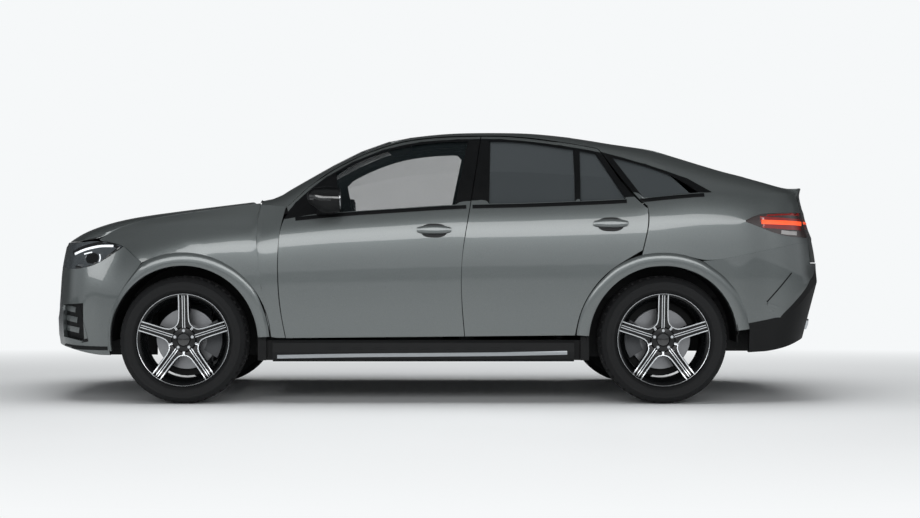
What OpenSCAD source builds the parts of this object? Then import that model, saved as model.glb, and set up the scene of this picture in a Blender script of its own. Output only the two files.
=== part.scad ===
// Coupe sport utility vehicle: lofted body panels round a hollow cabin, four hinged doors, bonnet,
// tailgate, steered front wheels and free-running wheels.
// Axes: +X rearward, +Y to the right, +Z up. Origin on the ground at the middle of the vehicle.
// Stations along the body: -100 nose, 0 front axle, 100 rear axle, 200 tail.

/* [Overall] */
// Distance from the front bumper to the rear bumper
body_length = 4915; // [4700:5:5100]
// Distance between the axles
wheelbase = 2935; // [2850:5:3020]
// Distance from the front bumper to the front axle
front_overhang = 895; // [850:5:940]
// Half the width of the painted body at the doors
door_half_width = 966; // [940:2:990]
// Height of the roof's crown above the ground
roof_height = 1708; // [1660:2:1760]
// Half the distance between the middles of the left and right tyres
half_track = 842; // [820:2:850]

/* [Wheels] */
// Outer diameter of the tyre
tyre_d = 781; // [740:1:800]
// Width of the tyre
tyre_w = 275; // [235:5:285]
// Diameter of the rim at its outer flange
rim_d = 567; // [500:1:580]
// Width of the rim between its flanges
rim_w = 230; // [200:5:250]
// Diameter of the brake disc
disc_d = 375; // [320:5:390]
// Circle of the wheel bolts
bolt_circle = 112; // [100:1:130]
// Width of one wheel spoke at its middle
spoke_w = 62; // [50:1:76]
// Radius of the wheel arch opening
arch_r = 452; // [440:1:462]
// Width of the arch moulding round the opening
arch_band = 84; // [60:1:95]
// Largest steering angle of the front wheels
steer_max = 34; // [25:1:38]

/* [Panels] */
// Thickness of a door from its skin to its inner trim
door_t = 90; // [70:2:110]
// Thickness of the sheet panels
skin_t = 6; // [4:1:9]
// Thickness of the window frames and pillars
frame_t = 42; // [34:2:52]
// Thickness of the window glass
glass_t = 5; // [4:0.5:7]
// Gap round a door, the bonnet and the tailgate
door_gap = 5; // [4:0.5:7]
// Gap between fixed panels
seam = 0.5; // [0.3:0.1:1]
// Height of a door window frame above the glass
frame_h = 38; // [30:1:48]
// Distance from a door's front edge to its hinge pin
hinge_set = 70; // [60:1:80]
// Radius of a hinge pin
pin_r = 6; // [4:0.5:7]
// Clearance of a pin or a shaft in its bore
fit = 0.3; // [0.2:0.1:0.6]

/* [Hidden] */
$fn = 48;

// Places along the vehicle
nose_x = -body_length / 2;
tail_x = body_length / 2;
front_axle = nose_x + front_overhang;
rear_axle = front_axle + wheelbase;
rear_overhang = tail_x - rear_axle;
wheel_z = tyre_d / 2;
arch_o = arch_r + arch_band;
function at(s) = s < 0 ? front_axle + s / 100 * front_overhang
  : s > 100 ? rear_axle + (s - 100) / 100 * rear_overhang
  : front_axle + s / 100 * wheelbase;
function st(x) = x < front_axle ? (x - front_axle) / front_overhang * 100
  : x > rear_axle ? 100 + (x - rear_axle) / rear_overhang * 100
  : (x - front_axle) / wheelbase * 100;

// Smooth curve through points [place, value]
function seg(p, x, i = 0) = i < len(p) - 2 && x > p[i + 1][0] ? seg(p, x, i + 1) : i;
function sec(p, i) = (p[i + 1][1] - p[i][1]) / (p[i + 1][0] - p[i][0]);
function slope(p, i) = i == 0 ? sec(p, 0)
  : i == len(p) - 1 ? sec(p, i - 1)
  : sec(p, i - 1) * sec(p, i) <= 0 ? 0
  : 2 * sec(p, i - 1) * sec(p, i) / (sec(p, i - 1) + sec(p, i));
function curve(p, x) = let(
    i = seg(p, x),
    h = p[i + 1][0] - p[i][0],
    t = min(1, max(0, (x - p[i][0]) / h)))
  p[i][1] * (2 * t * t * t - 3 * t * t + 1) + slope(p, i) * h * (t * t * t - 2 * t * t + t)
  + p[i + 1][1] * (3 * t * t - 2 * t * t * t) + slope(p, i + 1) * h * (t * t * t - t * t);
function mix(a, b, t) = a + (b - a) * t;
function steps(a, b, n) = [for (i = [0:n]) mix(a, b, i / n)];
// Places that divide a chain of stops into given numbers of parts
function spread(stops, parts) = concat([stops[0]],
  [for (i = [0:len(parts) - 1]) for (k = [1:parts[i]]) mix(stops[i], stops[i + 1], k / parts[i])]);

// Lines of the body in side view
belt_line = [[-100, 840], [-60, 915], [-43, 962], [-20, 1020], [0, 1064], [10, 1100], [21.7, 1141],
  [32.5, 1172], [42.8, 1192], [56.7, 1218], [71.5, 1228], [85.4, 1243], [95.8, 1259], [107, 1279],
  [121, 1292], [140, 1286], [170, 1262], [200, 1250]];
bonnet_drop = [[-92, 705], [-81, 646], [-53, 565], [-30, 535], [0, 502], [9, 471], [15.7, 448]];
cabin_drop = [[15, 450], [18.1, 430], [21, 377], [28, 253], [35.3, 136], [42.5, 57], [50, 20],
  [58, 2], [65, 0], [72, 3], [80, 24], [94, 89], [104, 131], [123, 201], [140, 264], [157, 310],
  [173, 368], [192, 382]];
glass_drop = [[22.1, 543], [23.6, 476], [28.7, 342], [35.7, 220], [42.7, 141], [49.8, 100], [57, 86],
  [66.4, 84], [79, 126], [93.2, 214], [100.7, 282], [122, 374], [140, 398], [170, 428], [200, 440]];
width_line = [[-60, -61], [-32, -8], [0, 14], [14, 5], [30, -3], [53, 0], [77, 4], [100, 18],
  [139, 0], [160, -36]];
flank_drop = [[-0.35, 78], [-0.12, 54], [0, 42], [0.15, 22], [0.35, 5], [0.55, 0], [0.75, 5],
  [0.88, 22], [1, 60]];
sill_line = [[19, 400], [82, 418]];
rail_line = [[15.8, 720], [21, 660], [28, 600], [35, 560], [42.5, 525], [50, 500], [66, 480], [86, 490],
  [100, 560], [120, 620], [140, 680], [160, 720], [173, 720], [185, 690]];
round_line = [[-100, 0.94], [14, 0.93], [20, 0.86], [28, 0.82], [100, 0.82], [140, 0.88], [190, 0.93]];
nose_start = at(-60);
tail_start = at(160);
function belt(x) = curve(belt_line, st(x));
function sill(x) = curve(sill_line, st(x));
function crown(x) = roof_height - (st(x) < 15.5 ? curve(bonnet_drop, st(x)) : curve(cabin_drop, st(x)));
function glass_top(x) = roof_height - curve(glass_drop, st(x));
function rail_y(x) = curve(rail_line, st(x));
end_pow = 0.75;
function end_part(f) = pow(max(0, 1 - pow(min(1, f), 2 / end_pow)), end_pow / 2);
function half_width(x) = x < nose_start
  ? (door_half_width + width_line[0][1]) * end_part((nose_start - x) / (nose_start - nose_x))
  : x > tail_start
  ? (door_half_width - 36) * end_part((x - tail_start) / (tail_x - tail_start))
  : door_half_width + curve(width_line, st(x));

// Section of the body above the belt: a curve from the belt to the crown
function bez(p, t) = p[0] * pow(1 - t, 3) + 3 * p[1] * t * pow(1 - t, 2) + 3 * p[2] * t * t * (1 - t)
  + p[3] * t * t * t;
function find(p, v, lo = 0, hi = 1, n = 18) = let(m = (lo + hi) / 2)
  n == 0 ? m : (bez(p, m) < v) ? find(p, v, m, hi, n - 1) : find(p, v, lo, m, n - 1);
function belt_y(x) = half_width(x) - 60;
function round_of(x) = curve(round_line, st(x));
function up_ys(x) = let(y = belt_y(x), k = round_of(x)) [y, k * y, (k - 0.05 - (1 - k) * 0.2) * y, 0];
function up_zs(x) = let(a = belt(x), b = crown(x)) [a, mix(a, b, 0.97), b, b];
function up_y(x, z) = bez(up_ys(x), find(up_zs(x), z));
function top_z(x, y) = let(p = up_ys(x)) bez(up_zs(x), find([for (v = p) -v], -abs(y)));
function low_y(x, z) = half_width(x) - curve(flank_drop, (z - 408) / (belt(x) - 408));
function side_y(x, z) = z <= belt(x) ? low_y(x, z) : up_y(x, z);

// Faces of the nose and the tail; t runs from 0 at the middle to 1 at the side
nose_back = [[280, 40], [353, 6], [430, 0], [560, 0], [610, 14], [720, 22], [820, 26], [900, 36], [960, 50],
  [1003, 72], [1040, 100]];
tail_back = [[300, 160], [394, 96], [510, 28], [609, 17], [752, 0], [780, 5], [891, 17], [1002, 39],
  [1057, 73], [1157, 95], [1230, 112], [1279, 126], [1330, 100], [1345, 100]];
function nose(t, z, d = 0) = let(a = nose_start - nose_x - curve(nose_back, z) - d)
  [nose_start - a * pow(max(0, cos(90 * t)), end_pow),
   (side_y(nose_start, z) - d) * sign(t) * pow(abs(sin(90 * t)), end_pow), z];
function tail(t, z, d = 0) = let(a = tail_x - tail_start - curve(tail_back, z) - d)
  [tail_start + a * pow(max(0, cos(90 * t)), end_pow),
   (side_y(tail_start, z) - d) * sign(t) * pow(abs(sin(90 * t)), end_pow), z];

// A solid between an outer and an inner grid of points; keep tells which cells are filled
module shell(outer, inner, keep = function(i, j) true, turn = false) {
  rows = len(outer);
  cols = len(outer[0]);
  n = rows * cols;
  on = function(i, j) i >= 0 && i < rows - 1 && j >= 0 && j < cols - 1 && keep(i, j);
  quads = [for (i = [0:rows - 2]) for (j = [0:cols - 2]) if (on(i, j))
    let(a = i * cols + j, b = a + cols, c = b + 1, d = a + 1) each concat(
      [[a, b, c, d], [n + d, n + c, n + b, n + a]],
      on(i - 1, j) ? [] : [[d, n + d, n + a, a]],
      on(i + 1, j) ? [] : [[c, b, n + b, n + c]],
      on(i, j - 1) ? [] : [[b, a, n + a, n + b]],
      on(i, j + 1) ? [] : [[c, n + c, n + d, d]])];
  faces = [for (q = quads) each turn
    ? [[q[2], q[1], q[0]], [q[3], q[2], q[0]]]
    : [[q[0], q[1], q[2]], [q[0], q[2], q[3]]]];
  polyhedron([for (g = [outer, inner]) for (r = g) each r], faces);
}
// Side view points put on the flank of one side, d below its skin
function on_side(side, xz, d = 0) = [xz[0], side * (side_y(xz[0], xz[1]) - d), xz[1]];
function flip(side, pts) = [for (p = pts) [p[0], side * p[1], p[2]]];
function back(pts) = [for (k = [len(pts) - 1:-1:0]) pts[k]];
// A row along one side; it runs to the rear on the left and to the front on the right
function along(side, pts) = side > 0 ? back(pts) : flip(-1, pts);

// Edges of the doors in side view
front_edge = [[390, 21.4], [548, 20.4], [700, 19.85], [865, 19.75], [1044, 20], [1125, 20.8], [1200, 21.3]];
middle_edge = [[410, 58.7], [573, 58.2], [725, 57.9], [872, 58.05], [1084, 59.1], [1197, 59.8], [1317, 60.5],
  [1597, 62.1], [1700, 62.8]];
back_edge = [[905, 95.2], [1044, 96.4], [1135, 96.9], [1197, 96.6], [1240, 95.5], [1265, 93.9], [1529, 88.1],
  [1600, 86.5]];
function door_front_x(z) = at(curve(front_edge, z));
function door_middle_x(z) = at(curve(middle_edge, z));
function arch_x(z, r) = sqrt(max(0, r * r - (z - wheel_z) * (z - wheel_z)));
function door_back_x(z) = min(at(curve(back_edge, z)),
  z > wheel_z + arch_o ? tail_x : rear_axle - arch_x(z, arch_o + door_gap));

// Door: rows of [places along the row, height at a place], from the sill up to the window frame
module door(side, rows, belt_row, hole, thin_back = false) {
  pts = [for (r = rows) [for (x = r[0]) [x, r[1](x)]]];
  last = len(pts[0]) - 1;
  depth = function(i, j) i >= belt_row ? frame_t : j < 2 ? 2 * skin_t : thin_back && j == last ? skin_t
    : i == 0 ? door_t * 0.7 : door_t;
  shell([for (r = pts) [for (p = r) on_side(side, p)]],
    [for (i = [0:len(pts) - 1]) [for (j = [0:len(pts[0]) - 1]) on_side(side, pts[i][j], depth(i, j))]],
    function(i, j) !hole(i, j), side > 0);
}
// Glass in a window of a door or a quarter panel, set below the skin
module pane(side, rows, depth) {
  pts = [for (r = rows) [for (x = r[0]) [x, r[1](x)]]];
  shell([for (r = pts) [for (p = r) on_side(side, p, depth)]],
    [for (r = pts) [for (p = r) on_side(side, p, depth + glass_t)]], turn = side > 0);
}
function low_z(v) = function(x) mix(sill(x), belt(x), v);
function high_z(v) = function(x) mix(belt(x), glass_top(x), v);
function frame_z() = function(x) glass_top(x) + frame_h;
function flange(a, m) = [a, a + hinge_set + 18, a + hinge_set + 26, m];
function within(a, b, n) = spread([a + seam, b - seam], [n]);

// Window places along the front door, at the belt and at the top of the glass
fw_a = [at(32.8), at(32.0), at(31.4)];
fw_m = [at(43), at(43), at(43)];
fw_b = [at(56.7), at(58.1), at(59.5)];
door_top_st = [21.4, 23.8, 25.24, 31, 43, 59.8];
module front_door(side) {
  parts = [1, 1, 2, 2, 4, 1];
  lows = [for (v = [0, 0.1, 0.25, 0.45, 0.65, 0.8, 0.9]) let(
      z = low_z(v), a = door_front_x(z(at(20))), b = door_middle_x(z(at(59))) - door_gap)
    [spread(concat(flange(a, mix(a, b, 0.3)), [mix(a, b, 0.55), mix(a, b, 0.91), b]), parts), z]];
  highs = [for (k = [0:2]) let(
      z = high_z(k / 2), a = at(21 + k * 0.35), m = fw_a[k], b = door_middle_x(z(at(61))) - door_gap)
    [spread([a, mix(a, m, 0.25), mix(a, m, 0.4), m, fw_m[k], fw_b[k], b], parts), z]];
  top = [spread(concat([for (q = door_top_st) at(q)], [door_middle_x(glass_top(at(62)) + frame_h) - door_gap]), parts),
    frame_z()];
  door(side, concat(lows, highs, [top]), len(lows), function(i, j) i >= 7 && i < 9 && j >= 4 && j < 10, true);
}
module front_window(side) {
  pane(side, [for (k = [0:2]) let(z = high_z(k / 2))
    [spread([fw_a[k] + seam, fw_m[k], fw_b[k] - seam], [2, 4]),
      k == 0 ? function(x) z(x) + seam : k == 2 ? function(x) z(x) - seam : z]], 12);
}
// Window places along the rear door
rw_a = [at(63.7), at(64), at(64.3)];
rw_b = [at(81.7), at(81.8), at(81.9)];
rw_c = [at(82.8), at(83), at(83.2)];
rw_d = [at(92.2), at(89.5), at(86.6)];
module rear_door(side) {
  lows = [for (v = [0, 0.15, 0.3, 0.42, 0.5, 0.56, 0.62, 0.72, 0.82, 0.92]) let(
      z = low_z(v), a = door_middle_x(z(at(59))), b = door_back_x(z(at(90))))
    [spread(concat(flange(a, mix(a, b, 0.22)), [mix(a, b, 0.62), mix(a, b, 0.66), mix(a, b, 0.93), b]),
      [1, 1, 1, 4, 1, 2, 1]), z]];
  highs = [for (k = [0:2]) let(
      z = high_z(k / 2), a = door_middle_x(z(at(61))), b = k == 0 ? at(94.2) : door_back_x(z(at(91 - k))))
    [spread([a, mix(a, rw_a[k], 0.4), mix(a, rw_a[k], 0.6), rw_a[k], rw_b[k], rw_c[k], rw_d[k], b],
      [1, 1, 1, 4, 1, 2, 1]), z]];
  top = [spread([door_middle_x(glass_top(at(62)) + frame_h), at(62.9), at(63.4), at(64.4), at(81.9), at(83.2), at(86.2),
    at(87.2)], [1, 1, 1, 4, 1, 2, 1]), frame_z()];
  door(side, concat(lows, highs, [top]), len(lows),
    function(i, j) i >= 10 && i < 12 && (j >= 3 && j < 7 || j >= 8 && j < 10));
}
module rear_window(side) {
  for (w = [[rw_a, rw_b, 4], [rw_c, rw_d, 2]])
    pane(side, [for (k = [0:2]) let(z = high_z(k / 2))
      [within(w[0][k], w[1][k], w[2]), k == 0 ? function(x) z(x) + seam : k == 2 ? function(x) z(x) - seam : z]], 12);
}

// Body side: pillar and roof rail over the doors, quarter panel behind them
rail_st = [15.8, 18, 20, 21.4, 23.8, 25.24, 28.12, 31, 37, 43, 47.2, 51.4, 55.6, 59.8, 64.4, 68.775, 73.15, 77.525,
  81.9, 84.7];
quarter_q = [0, 0.05, 0.19, 0.33, 0.47, 0.62, 0.8, 0.9, 1, 1.3, 1.65, 2];
gate_t = 0.6;
split_line = [[1624, 864], [1713, 880], [2073, 955], [2200, 985]];
lamp_low = [[1240, 1088], [1600, 1104], [1868, 1112], [1950, 1086], [2124, 1022], [2300, 1014]];
lamp_high = [[1240, 1150], [1600, 1140], [1868, 1120], [1930, 1152], [1975, 1164], [2300, 1172]];
function over_arch(x) = wheel_z + sqrt(max(0, pow(arch_o + seam, 2) - pow(x - rear_axle, 2)));
function quarter_low(x) = x < rear_axle + 0.47 * arch_o ? over_arch(x) : curve(split_line, x);
function rail_low(x) = st(x) < 21.4 ? mix(1222, glass_top(at(22.1)) + frame_h + door_gap, (st(x) - 15.8) / 5.6)
  : glass_top(x) + (frame_h + door_gap) * curve([[95, 1], [150, 0.35], [180, 0.3]], st(x));
function quarter_z(i) = i == 0 ? function(x) quarter_low(x)
  : i == 1 ? function(x) mix(quarter_low(x), curve(lamp_low, x), 0.5)
  : i == 2 ? function(x) curve(lamp_low, x)
  : i == 3 ? function(x) curve(lamp_high, x)
  : i == 4 ? function(x) mix(curve(lamp_high, x), belt(x), 0.55)
  : i == 5 ? function(x) belt(x)
  : i == 6 ? function(x) glass_top(x)
  : function(x) rail_low(x);
quarter_start = [for (z = [912, 1000, 1090, 1150, 1205]) at(curve(back_edge, z)) + door_gap];
quarter_x0 = concat(quarter_start, [at(94.4) + door_gap, at(88.2) + door_gap, at(87.2) + door_gap]);
function tail_t(q) = 1 - (q - 1) * (1 - gate_t);
function quarter_pt(i, q, d = 0) = q <= 1
  ? let(x = mix(quarter_x0[i], tail_start, q), z = quarter_z(i)(x)) [x, side_y(x, z) - d, z]
  : tail(tail_t(q), quarter_z(i)(tail(tail_t(q), 1150)[0]), d);
function rail_pt(x, d = 0) = let(y = rail_y(x)) [x, y, top_z(x, y) - d];
function quarter_rail_x(q) = q <= 1 ? mix(at(87.2) + door_gap, tail_start, q) : mix(tail_start, at(180), q - 1);
module body_side(side) {
  xs = [for (s = rail_st) at(s)];
  n = len(xs);
  grid = function(d) concat(
    [for (i = [0:7]) concat(
      [for (x = xs) let(z = rail_low(x)) [x, side_y(x, z) - d, z - (7 - i)]],
      [for (q = quarter_q) quarter_pt(i, q, d)])],
    [concat(
      [for (x = xs) let(z = mix(rail_low(x), rail_pt(x)[2], 0.5)) [x, side_y(x, z) - d * 0.8, z - d * 0.6]],
      [for (q = quarter_q) let(x = quarter_rail_x(q), a = quarter_pt(7, q), b = rail_pt(x), m = (a + b) / 2)
        q > 1 ? m - [0, d * 0.25, d * 0.85] : [m[0], side_y(m[0], m[2]) - d * 0.8, m[2] - d * 0.6]])],
    [concat(
      [for (x = xs) rail_pt(x, d)],
      [for (q = quarter_q) rail_pt(quarter_rail_x(q), d)])]);
  last = n + len(quarter_q) - 2;
  shell([for (r = grid(0)) along(side, r)], [for (r = grid(frame_t)) along(side, r)],
    function(i, k) let(j = side > 0 ? last - k : k)
      i >= 7 || j >= n && !(i == 5 && j >= n + 1 && j < n + 4) && !(i == 2 && j >= n + 6));
}

// Front fender: a patch between the arch, the bonnet line, the lamp and the door
function hood_edge(t) = curve([[0, 1003], [0.45, 992], [0.75, 990], [1, 1008]], abs(t));
hood_corner_y = side_y(nose_start, hood_edge(1));
hood_line = [[-60, hood_corner_y], [-30, 806], [0, 812], [15.5, 770]];
function hood_y(x) = curve(hood_line, st(x));
function front_band(a) = a <= 90 ? arch_band : curve([[118, arch_band], [150, 26], [200, 22]], a);
function front_arch(a, r) = [front_axle + r * cos(a), wheel_z + r * sin(a)];
lamp_tip = [at(-41.6), 966];
fender_cut = 118;
function line_at(p, u) = let(n = len(p) - 1, i = min(n - 1, floor(u * n)), f = u * n - i) mix(p[i], p[i + 1], f);
module front_fender(side) {
  nu = 18;
  nv = 6;
  base = concat(
    [for (k = [0:15]) front_arch(mix(fender_cut, 2, k / 15), arch_o + seam)],
    [for (k = [1:3]) [mix(front_axle + arch_o, door_front_x(400) - door_gap, k / 3), 402]]);
  crest = concat(
    [for (k = [0:14]) let(x = mix(nose_start, at(15.5), k / 14)) [x, top_z(x, hood_y(x))]],
    [for (s = [15.8, 17.5, 19.2, 20.9]) let(x = at(s)) [x, rail_low(x) - seam]]);
  left = concat(
    [for (k = [0:3]) mix(base[0], lamp_tip, k / 3)],
    [for (k = [1:3]) mix(lamp_tip, crest[0], k / 3)]);
  right = [for (k = [0:nv]) let(z = mix(402, crest[18][1], k / nv)) [door_front_x(z) - door_gap, z]];
  last = [right[nv][0], crest[18][1]];
  pt = function(i, j) let(v = i / nv, u = j / nu)
    base[j] * (1 - v) + (j == nu ? last : crest[j]) * v + left[i] * (1 - u) + right[i] * u
    - base[0] * (1 - u) * (1 - v) - base[nu] * u * (1 - v) - crest[0] * (1 - u) * v - last * u * v;
  grid = function(d) [for (i = [0:nv]) [for (j = [0:nu]) let(
      p = pt(i, j), up = p[1] > belt(p[0]) ? 0.8 : 0)
    [p[0], side * (side_y(p[0], p[1]) - (i == nv ? 0 : d)), p[1] - d * (i == nv ? 1.4 : up)]]];
  shell(grid(0), grid(skin_t), turn = side > 0);
}

// Bonnet, windscreen, roof and tailgate: grids across the whole width, c from -1 to 1
bonnet_t = 20;
bonnet_cs = [-1, -0.9, -0.75, -0.55, -0.28, 0, 0.28, 0.55, 0.75, 0.9, 1];
function cowl_x(c) = at(14.6) - 100 * (1 - c * c);
function bonnet_pt(c, v) = let(
    e = nose(c, hood_edge(c)),
    e1 = nose(1, hood_edge(1)),
    x = mix(e[0], cowl_x(c), v),
    x1 = mix(e1[0], cowl_x(1), v),
    wide = hood_y(x1) - mix(hood_corner_y, hood_y(cowl_x(1)), v),
    y = mix(e[1], c * hood_y(cowl_x(1)), v) + c * (wide - door_gap),
    fix = e[2] - top_z(e[0], e[1]))
  [x, y, top_z(x, y) + fix * pow(1 - v, 3)];
module bonnet_panel() {
  vs = [0, 0.06, 0.14, 0.26, 0.4, 0.55, 0.7, 0.85, 1];
  thin = [0.15, 0.5, 1, 1, 1, 1, 1, 1, 1];
  grid = function(d) [for (i = [0:8]) [for (c = bonnet_cs) bonnet_pt(c, vs[i]) - [0, 0, d * thin[i]]]];
  shell(grid(0), grid(bonnet_t), turn = true);
}
function across(x, c, edge) = let(y = c * (rail_y(x) - edge)) [y, top_z(x, y)];
screen_st = [for (s = rail_st) if (s <= 43) s];
module windscreen() {
  cs = [-1, -0.8, -0.55, -0.28, 0, 0.28, 0.55, 0.8, 1];
  grid = function(d) [for (s = screen_st) [for (c = cs) let(
      x = at(s) - 42 * (1 - c * c), q = across(x, c, 0), e = across(at(s), c, seam))
    [x, e[0], (abs(c) == 1 ? e[1] : top_z(x, e[0])) - d]]];
  shell(grid(0), grid(glass_t * 1.4), turn = true);
}
roof_t = 30;
roof_st = concat([for (s = rail_st) if (s >= 43) s], [86.6]);
module roof_panel() {
  cs = [-1, -0.87, -0.6, -0.3, 0, 0.3, 0.6, 0.87, 1];
  n = len(roof_st);
  grid = function(d) [for (i = [0:n - 1]) [for (c = cs) let(
      s = roof_st[i], e = across(at(s), c, seam), x = at(s) + (i == 0 ? seam - 42 * (1 - c * c) : 0))
    [x, e[0], top_z(x, e[0]) - (i == n - 1 ? d * 0.35 : d)]]];
  shell(grid(0), grid(roof_t), function(i, j) !(i >= 1 && i < n - 3 && j >= 1 && j < 7), true);
}
module roof_glass() {
  cs = [-0.87, -0.6, -0.3, 0, 0.3, 0.6, 0.87];
  n = len(roof_st);
  grid = function(d) [for (i = [1:n - 3]) [for (c = cs) let(
      x = at(roof_st[i]) + (i == 1 ? seam : i == n - 3 ? -seam : 0), e = across(x, c, seam),
      y = e[0] - sign(c) * (abs(c) == 0.87 ? seam : 0))
    [x, y, top_z(x, y) - d]]];
  shell(grid(2), grid(2 + glass_t), turn = true);
}

// Tailgate: from the roof over the lip and down the tail
gate_cs = [-1, -0.86, -0.6, -0.3, 0, 0.3, 0.6, 0.86, 1];
gate_st = [86.9, 89.5, 89.8, 92, 96, 100, 110, 122, 136, 150, 162, 172, 178];
gate_zs = [1330, 1279, 1172, 1095, 1016, 935, 862];
gate_t_in = gate_t - 0.01;
gate_d = 46;
function gate_edge(x) = rail_y(x) - door_gap - curve([[150, 0], [165, 14], [178, 32]], st(x));
function gate_up(s, c, d) = let(x = at(s), y = c * gate_edge(x)) [x, y, top_z(x, y) - d];
module tailgate_panel() {
  grid = function(d) concat(
    [for (i = [0:len(gate_st) - 1]) [for (c = gate_cs) gate_up(gate_st[i], c, i < 2 ? min(d, 2 * skin_t) : d)]],
    [for (k = [0:len(gate_zs) - 1]) [for (c = gate_cs)
      tail(c * (gate_t_in - (k == 0 ? 0.06 : k == 1 ? 0.035 : 0)), gate_zs[k] - (k == 0 ? d * 0.8 : 0), d)]]);
  n = len(gate_st);
  shell(grid(0), grid(gate_d),
    function(i, j) !(i >= 3 && i < 9 && j >= 1 && j < 7) && !(i >= n + 2 && i < n + 4 && (j < 2 || j > 5)), true);
}
module tailgate_glass() {
  cs = [for (c = gate_cs) if (abs(c) < 0.9) c];
  grid = function(d) [for (i = [3:9]) [for (c = cs) let(
      s = gate_st[i], x = at(s) + (i == 3 ? seam : i == 9 ? -seam : 0),
      y = c * gate_edge(x) - sign(c) * (abs(c) == 0.86 ? seam : 0))
    [x, y, top_z(x, y) - d]]];
  shell(grid(3), grid(3 + glass_t), turn = true);
}
module gate_lamp(side) {
  grid = function(d) [for (k = [2:4]) [for (c = [0.6 + 0.002, 0.86, 1])
    tail(side * c * gate_t_in, gate_zs[k] + (k == 2 ? -seam : k == 4 ? seam : 0), d)]];
  shell(grid(2), grid(gate_d - 6), turn = side > 0);
}
function lamp_pt(q, k, d) = q <= 1
  ? let(x = mix(mix(quarter_x0[2], quarter_x0[3], k), tail_start, q), z = mix(quarter_z(2)(x), quarter_z(3)(x), k))
    [x, side_y(x, z) - d, z]
  : let(x = tail(tail_t(q), 1150)[0]) tail(tail_t(q), mix(quarter_z(2)(x), quarter_z(3)(x), k), d);
module quarter_lamp(side) {
  qs = [for (q = quarter_q) if (q >= 0.8) q];
  grid = function(d) [for (k = [0, 0.5, 1]) along(side, [for (q = qs)
    let(p = lamp_pt(q, k, d)) [p[0] + (q == 0.8 ? 2 : 0), p[1], p[2] + (k == 0 ? seam : k == 1 ? -seam : 0)]])];
  shell(grid(2), grid(frame_t - 6));
}
module quarter_window(side) {
  qs = [for (q = quarter_q) if (q >= 0.05 && q < 0.4) q];
  tip = 0.4;
  grid = function(d) [for (k = [0, 0.5, 1]) flip(side, [for (q = concat(qs, [tip])) let(
      a = quarter_pt(5, q == 0.05 ? q + 0.001 : q, d), b = quarter_pt(6, q == 0.05 ? q + 0.001 : q, d), p = mix(a, b, k))
    [p[0], p[1], p[2] + (k == 0 ? seam : k == 1 ? -seam : 0)]])];
  shell(grid(10), grid(10 + glass_t), turn = side > 0);
}

// Front bumper: rows of heights from the chin to the bonnet edge, columns from arch to arch
bumper_d = 45;
nose_ts = [0.9, 0.8, 0.7, 0.6, 0.48, 0.36, 0.24, 0.12, 0];
nose_rows = [
  [192, 292, [[0, 353], [0.4, 350], [0.7, 332], [1, 292]]],
  [183, 366, [[0, 405], [0.6, 400], [1, 366]]],
  [170, 480, [[0, 520], [0.5, 505], [1, 480]]],
  [157, 618, [[0, 600], [0.55, 602], [1, 618]]],
  [140, 735, [[0, 690], [0.55, 705], [1, 735]]],
  [118.2, 848, [[0, 830], [0.48, 830], [0.8, 822], [0.9, 830], [1, 848]]],
  [118, 966, [[0, 965], [0.48, 960], [1, 962]]],
  [118, 990, [[0, 1003], [0.45, 992], [0.75, 990], [1, 1008]]]];
function nose_z(i, t) = curve(nose_rows[i][2], abs(t)) - (i == 7 ? door_gap : 0);
function arch_start(i) = front_arch(nose_rows[i][0], arch_r + front_band(nose_rows[i][0]) + seam);
function nose_side(i, k, d) = let(a = arch_start(i))
  k == 0 ? [a[0], side_y(a[0], a[1]) - d, a[1]]
  : i >= 5 ? [lamp_tip[0] - 2, side_y(lamp_tip[0], lamp_tip[1]) - d, lamp_tip[1] - 3.4]
  : let(x = mix(a[0], nose_start, 0.5), z = mix(a[1], nose_rows[i][1], 0.5)) [x, side_y(x, z) - d, z];
function nose_row(i, d) = let(half = concat([for (k = [0, 1]) nose_side(i, k, d)], [nose(1, nose_z(i, 1), d)],
    [for (t = nose_ts) nose(t, nose_z(i, t), d)]))
  concat(flip(-1, half), [for (k = [len(half) - 2:-1:0]) half[k]]);
nose_mid = 3 + len(nose_ts) - 1;
module bumper_front() {
  n = len(nose_row(0, 0));
  grid = function(d) [for (i = [0:7]) nose_row(i, d)];
  shell(grid(0), grid(bumper_d), function(i, j) let(k = min(j, n - 2 - j))
    i < 5 ? !(k >= 8 && i >= 3) && !(k >= 8 && i == 1) && !(k >= 3 && k < 6 && (i == 1 || i == 2))
    : k == 7 || k > 7 && i == 6, true);
}
// Insert in an opening of the nose, between two columns and two rows
module nose_insert(ta, tb, ia, ib, d, thick, n) {
  ts = steps(ta, tb, n);
  grid = function(e) [for (i = [ia:ib]) [for (t = ts)
    nose(t, nose_z(i, t) + (i == ia ? seam : i == ib ? -seam : 0), e)]];
  shell(grid(d), grid(d + thick), turn = true);
}
module grille_inserts() {
  e = 0.0008;
  nose_insert(-0.36 + e, 0.36 - e, 3, 6, 18, 16, 6);
  nose_insert(-0.36 + e, 0.36 - e, 1, 2, 22, 16, 6);
  for (side = [-1, 1]) nose_insert(min(side * 0.6, side * 0.9) + e, max(side * 0.6, side * 0.9) - e, 1, 3, 26, 14, 3);
}
module headlamp(side) {
  ts = [0.48 + 0.0008, 0.6, 0.7, 0.8, 0.9, 1];
  grid = function(d) [for (i = [5:7]) let(
      row = concat(
        [for (t = ts) nose(t, nose_z(i, t) + (i == 5 ? seam : i == 7 ? (t == 1 ? -5 : -seam) : 0), d)],
        [let(z = lamp_tip[1] - 8 + i * 0.9, x = lamp_tip[0] - 14) [x, side_y(x, z) - d, z]]))
    side > 0 ? row : flip(-1, [for (k = [len(row) - 1:-1:0]) row[k]])];
  shell(grid(1), grid(56), turn = true);
}

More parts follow.
